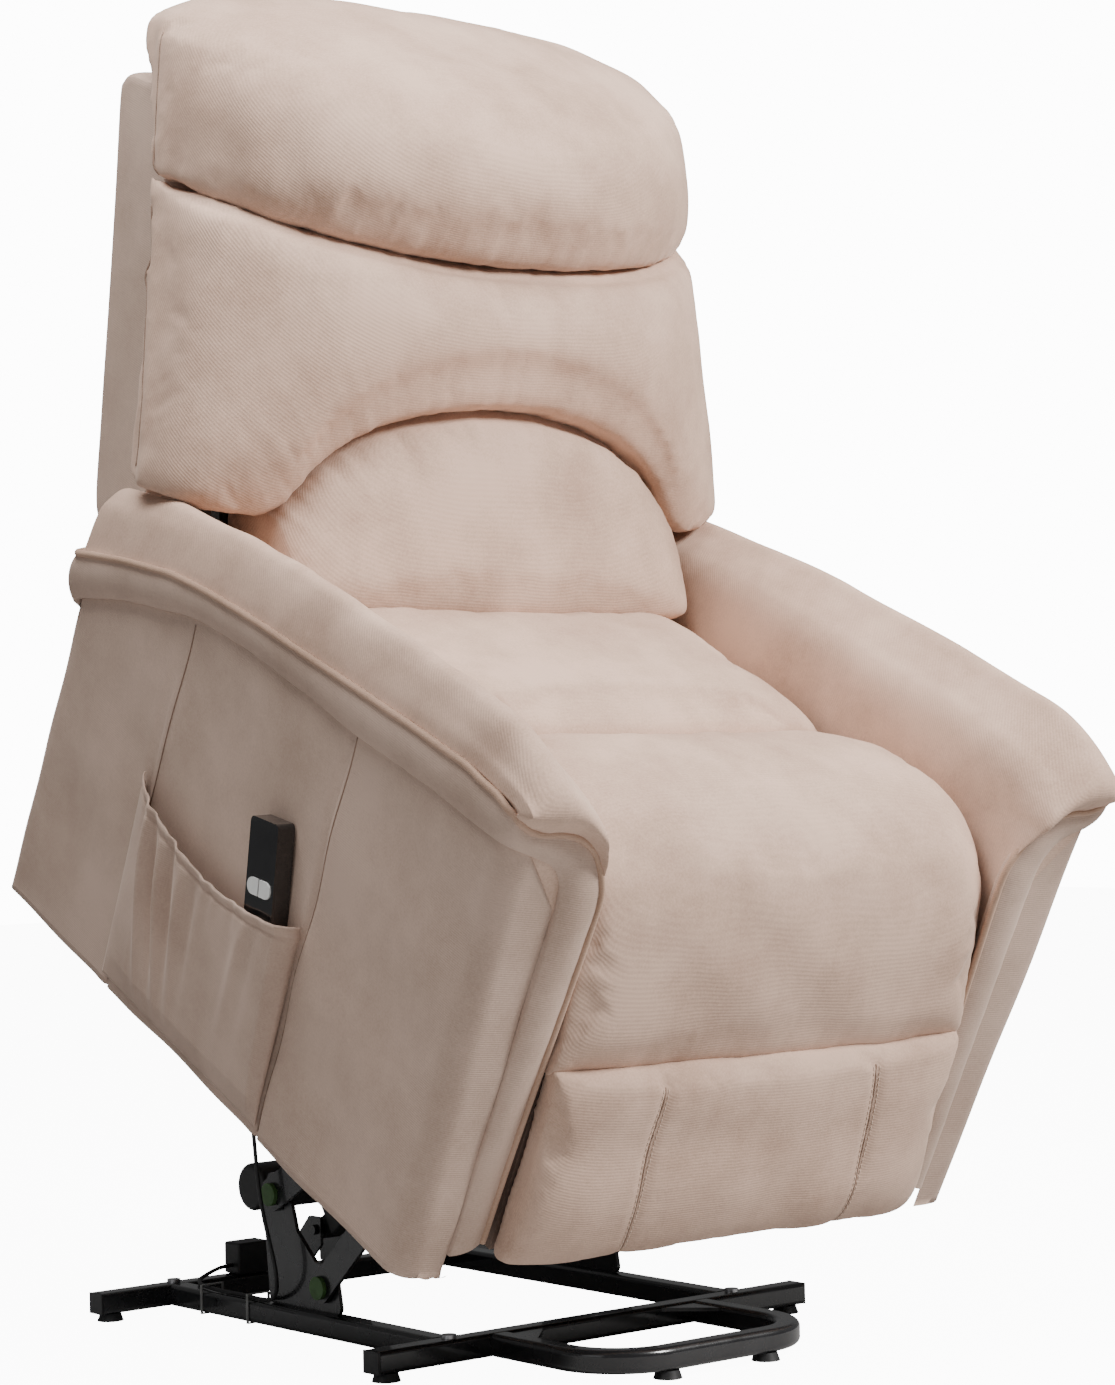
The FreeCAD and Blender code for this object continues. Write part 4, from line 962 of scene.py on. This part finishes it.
# ---------------------------------------------------------------- side pocket

POCKET_FRONT, POCKET_REAR, POCKET_FOOT = 248, 580, 14
# Slanting folds below the gathered end: (size, place along the hem, lean, width, how high they start)
POCKET_FOLDS = ((8.5, 0.86, -0.10, 0.022, 1.6), (-8.0, 0.81, -0.13, 0.020, 1.5),
                (8.0, 0.75, -0.12, 0.022, 1.7), (-6.5, 0.69, -0.10, 0.022, 1.8),
                (6.0, 0.61, -0.06, 0.026, 2.0), (-4.6, 0.53, -0.02, 0.028, 2.2),
                (2.8, 0.20, 0.08, 0.030, 2.0), (-2.2, 0.14, 0.05, 0.030, 2.0))
HEM_LINE = ((248, 250), (306, 238), (363, 227), (411, 226), (457, 232), (526, 249), (581, 264))


def side_pocket():
    """The pocket's cloth: flat to the panel at its sides and foot, standing off at its elastic hem."""
    y = np.linspace(POCKET_FRONT, POCKET_REAR, 150)
    v = np.linspace(0, 1, 90)
    depth_grid, rise = np.meshgrid(y, v, indexing="ij")
    height = POCKET_FOOT + (along(HEM_LINE, depth_grid) - POCKET_FOOT) * rise
    u = (depth_grid - POCKET_FRONT) / (POCKET_REAR - POCKET_FRONT)
    belly = np.clip(u / 0.045, 0, 1) ** 0.55 * np.clip((1 - u) / 0.16, 0, 1) ** 0.6
    over_handset = np.exp(-((u - 0.13) / 0.12) ** 4) * rise
    stand = belly * (6 + 15 * rise ** 0.8 + 5.5 * over_handset) * np.clip(rise / 0.12, 0, 1) ** 0.6
    pleats = np.sin(u * 83 + 0.8 * np.sin(u * 17)) * (0.6 + 0.4 * np.sin(u * 31))
    stand += 2.2 * pleats * rise ** 7 * belly * np.clip(0.35 + u, 0, 1)
    folds = np.zeros(u.shape)
    for size, at, lean, wide, grow in POCKET_FOLDS:
        ridge = np.exp(-((u - at - lean * (1 - rise)) / wide) ** 2)
        folds += size * ridge * np.sin(math.pi * rise ** grow) ** 0.8
    stand = np.maximum(stand + folds * belly, 0.6)
    stand += 1.8 * np.exp(-((rise - 0.985) / 0.02) ** 2) - 2.2 * np.exp(-((rise - 0.945) / 0.010) ** 2)
    x = -(PANEL_FOOT_X + height * FLARE) - 3.0 - stand
    points = np.stack([x, depth_grid, height], -1)
    cloth = grid_object("pocket_cloth", to_row(points).reshape(points.shape), SHADED_SIDE_VELVET, flip=True)
    thick = cloth.modifiers.new("cloth_thickness", "SOLIDIFY")
    thick.thickness, thick.offset = 0.0016, 1
    cover(cloth, "seat", "side_pocket")


side_pocket()

# ---------------------------------------------------------------- handset, hardware edges

for name in ("handset_back_case", "handset_front_case", "raise_button", "lower_button", "actuator_gearbox",
             "power_box", "tube_end_caps"):
    edge = NODES[name].modifiers.new("soft_edge", "BEVEL")
    edge.width, edge.segments, edge.limit_method = 0.0012, 3, "ANGLE"
NODES["cable_ties"].material_slots[0].material = TIE_NYLON
NODES["footrest_board"].material_slots[0].material = BROWN_CLOTH
NODES["back_board"].material_slots[0].material = WEBBING

# ---------------------------------------------------------------- floor and light

FLOOR = worn("studio_floor", (0.46, 0.46, 0.46), (0.43, 0.43, 0.43), 0.75, 2)
floor_shader = FLOOR.node_tree.nodes["Principled BSDF"]
floor_shader.inputs["Emission Color"].default_value = (1, 1, 1, 1)
floor_tree = FLOOR.node_tree
floor_seen = floor_tree.nodes.new("ShaderNodeLightPath").outputs["Is Camera Ray"]
floor_glow = math_node(floor_tree.nodes, floor_tree.links, "MULTIPLY", floor_seen, 11.0)
floor_tree.links.new(floor_glow, floor_shader.inputs["Emission Strength"])
FLOOR_HALF = 9.0
corners = FLOOR_HALF * np.array([(-1, -1, 0), (1, -1, 0), (1, 1, 0), (-1, 1, 0)], float)
floor = mesh_object("studio_floor", corners, [[0, 1, 2, 3]], FLOOR)

world = bpy.data.worlds.new("studio")
bpy.context.scene.world = world
world.use_nodes = True
world.node_tree.nodes["Background"].inputs["Color"].default_value = (1.0, 1.0, 1.0, 1)
backdrop = world.node_tree.nodes.new("ShaderNodeBackground")
backdrop.inputs["Strength"].default_value = 16.0
seen = world.node_tree.nodes.new("ShaderNodeLightPath").outputs["Is Camera Ray"]
choose = world.node_tree.nodes.new("ShaderNodeMixShader")
world.node_tree.links.new(seen, choose.inputs[0])
world.node_tree.links.new(world.node_tree.nodes["Background"].outputs[0], choose.inputs[1])
world.node_tree.links.new(backdrop.outputs[0], choose.inputs[2])
world.node_tree.links.new(choose.outputs[0], world.node_tree.nodes["World Output"].inputs[0])
world.node_tree.nodes["Background"].inputs["Strength"].default_value = 0.14


def softbox(name, place, target, size, power, colour=(1, 1, 1)):
    """A rectangular area light of this size and power in watts, turned towards target."""
    lamp = bpy.data.lights.new(name, "AREA")
    lamp.shape, lamp.energy, lamp.color = "RECTANGLE", power, colour
    lamp.size, lamp.size_y = size
    holder = bpy.data.objects.new(name, lamp)
    holder.location = place
    holder.rotation_mode = "QUATERNION"
    holder.rotation_quaternion = (Vector(target) - Vector(place)).to_track_quat("-Z", "Y")
    bpy.context.collection.objects.link(holder)


softbox("key_light", (1.5, -2.7, 3.0), (0, 0, 1.0), (1.1, 1.1), 255, (1.0, 0.985, 0.965))
softbox("top_light", (-1.0, -0.2, 3.3), (0, 0, 0.8), (1.5, 1.5), 98)
softbox("fill_light", (-3.4, -0.8, 1.2), (0, 0, 0.6), (1.8, 1.8), 8, (0.98, 0.99, 1.0))
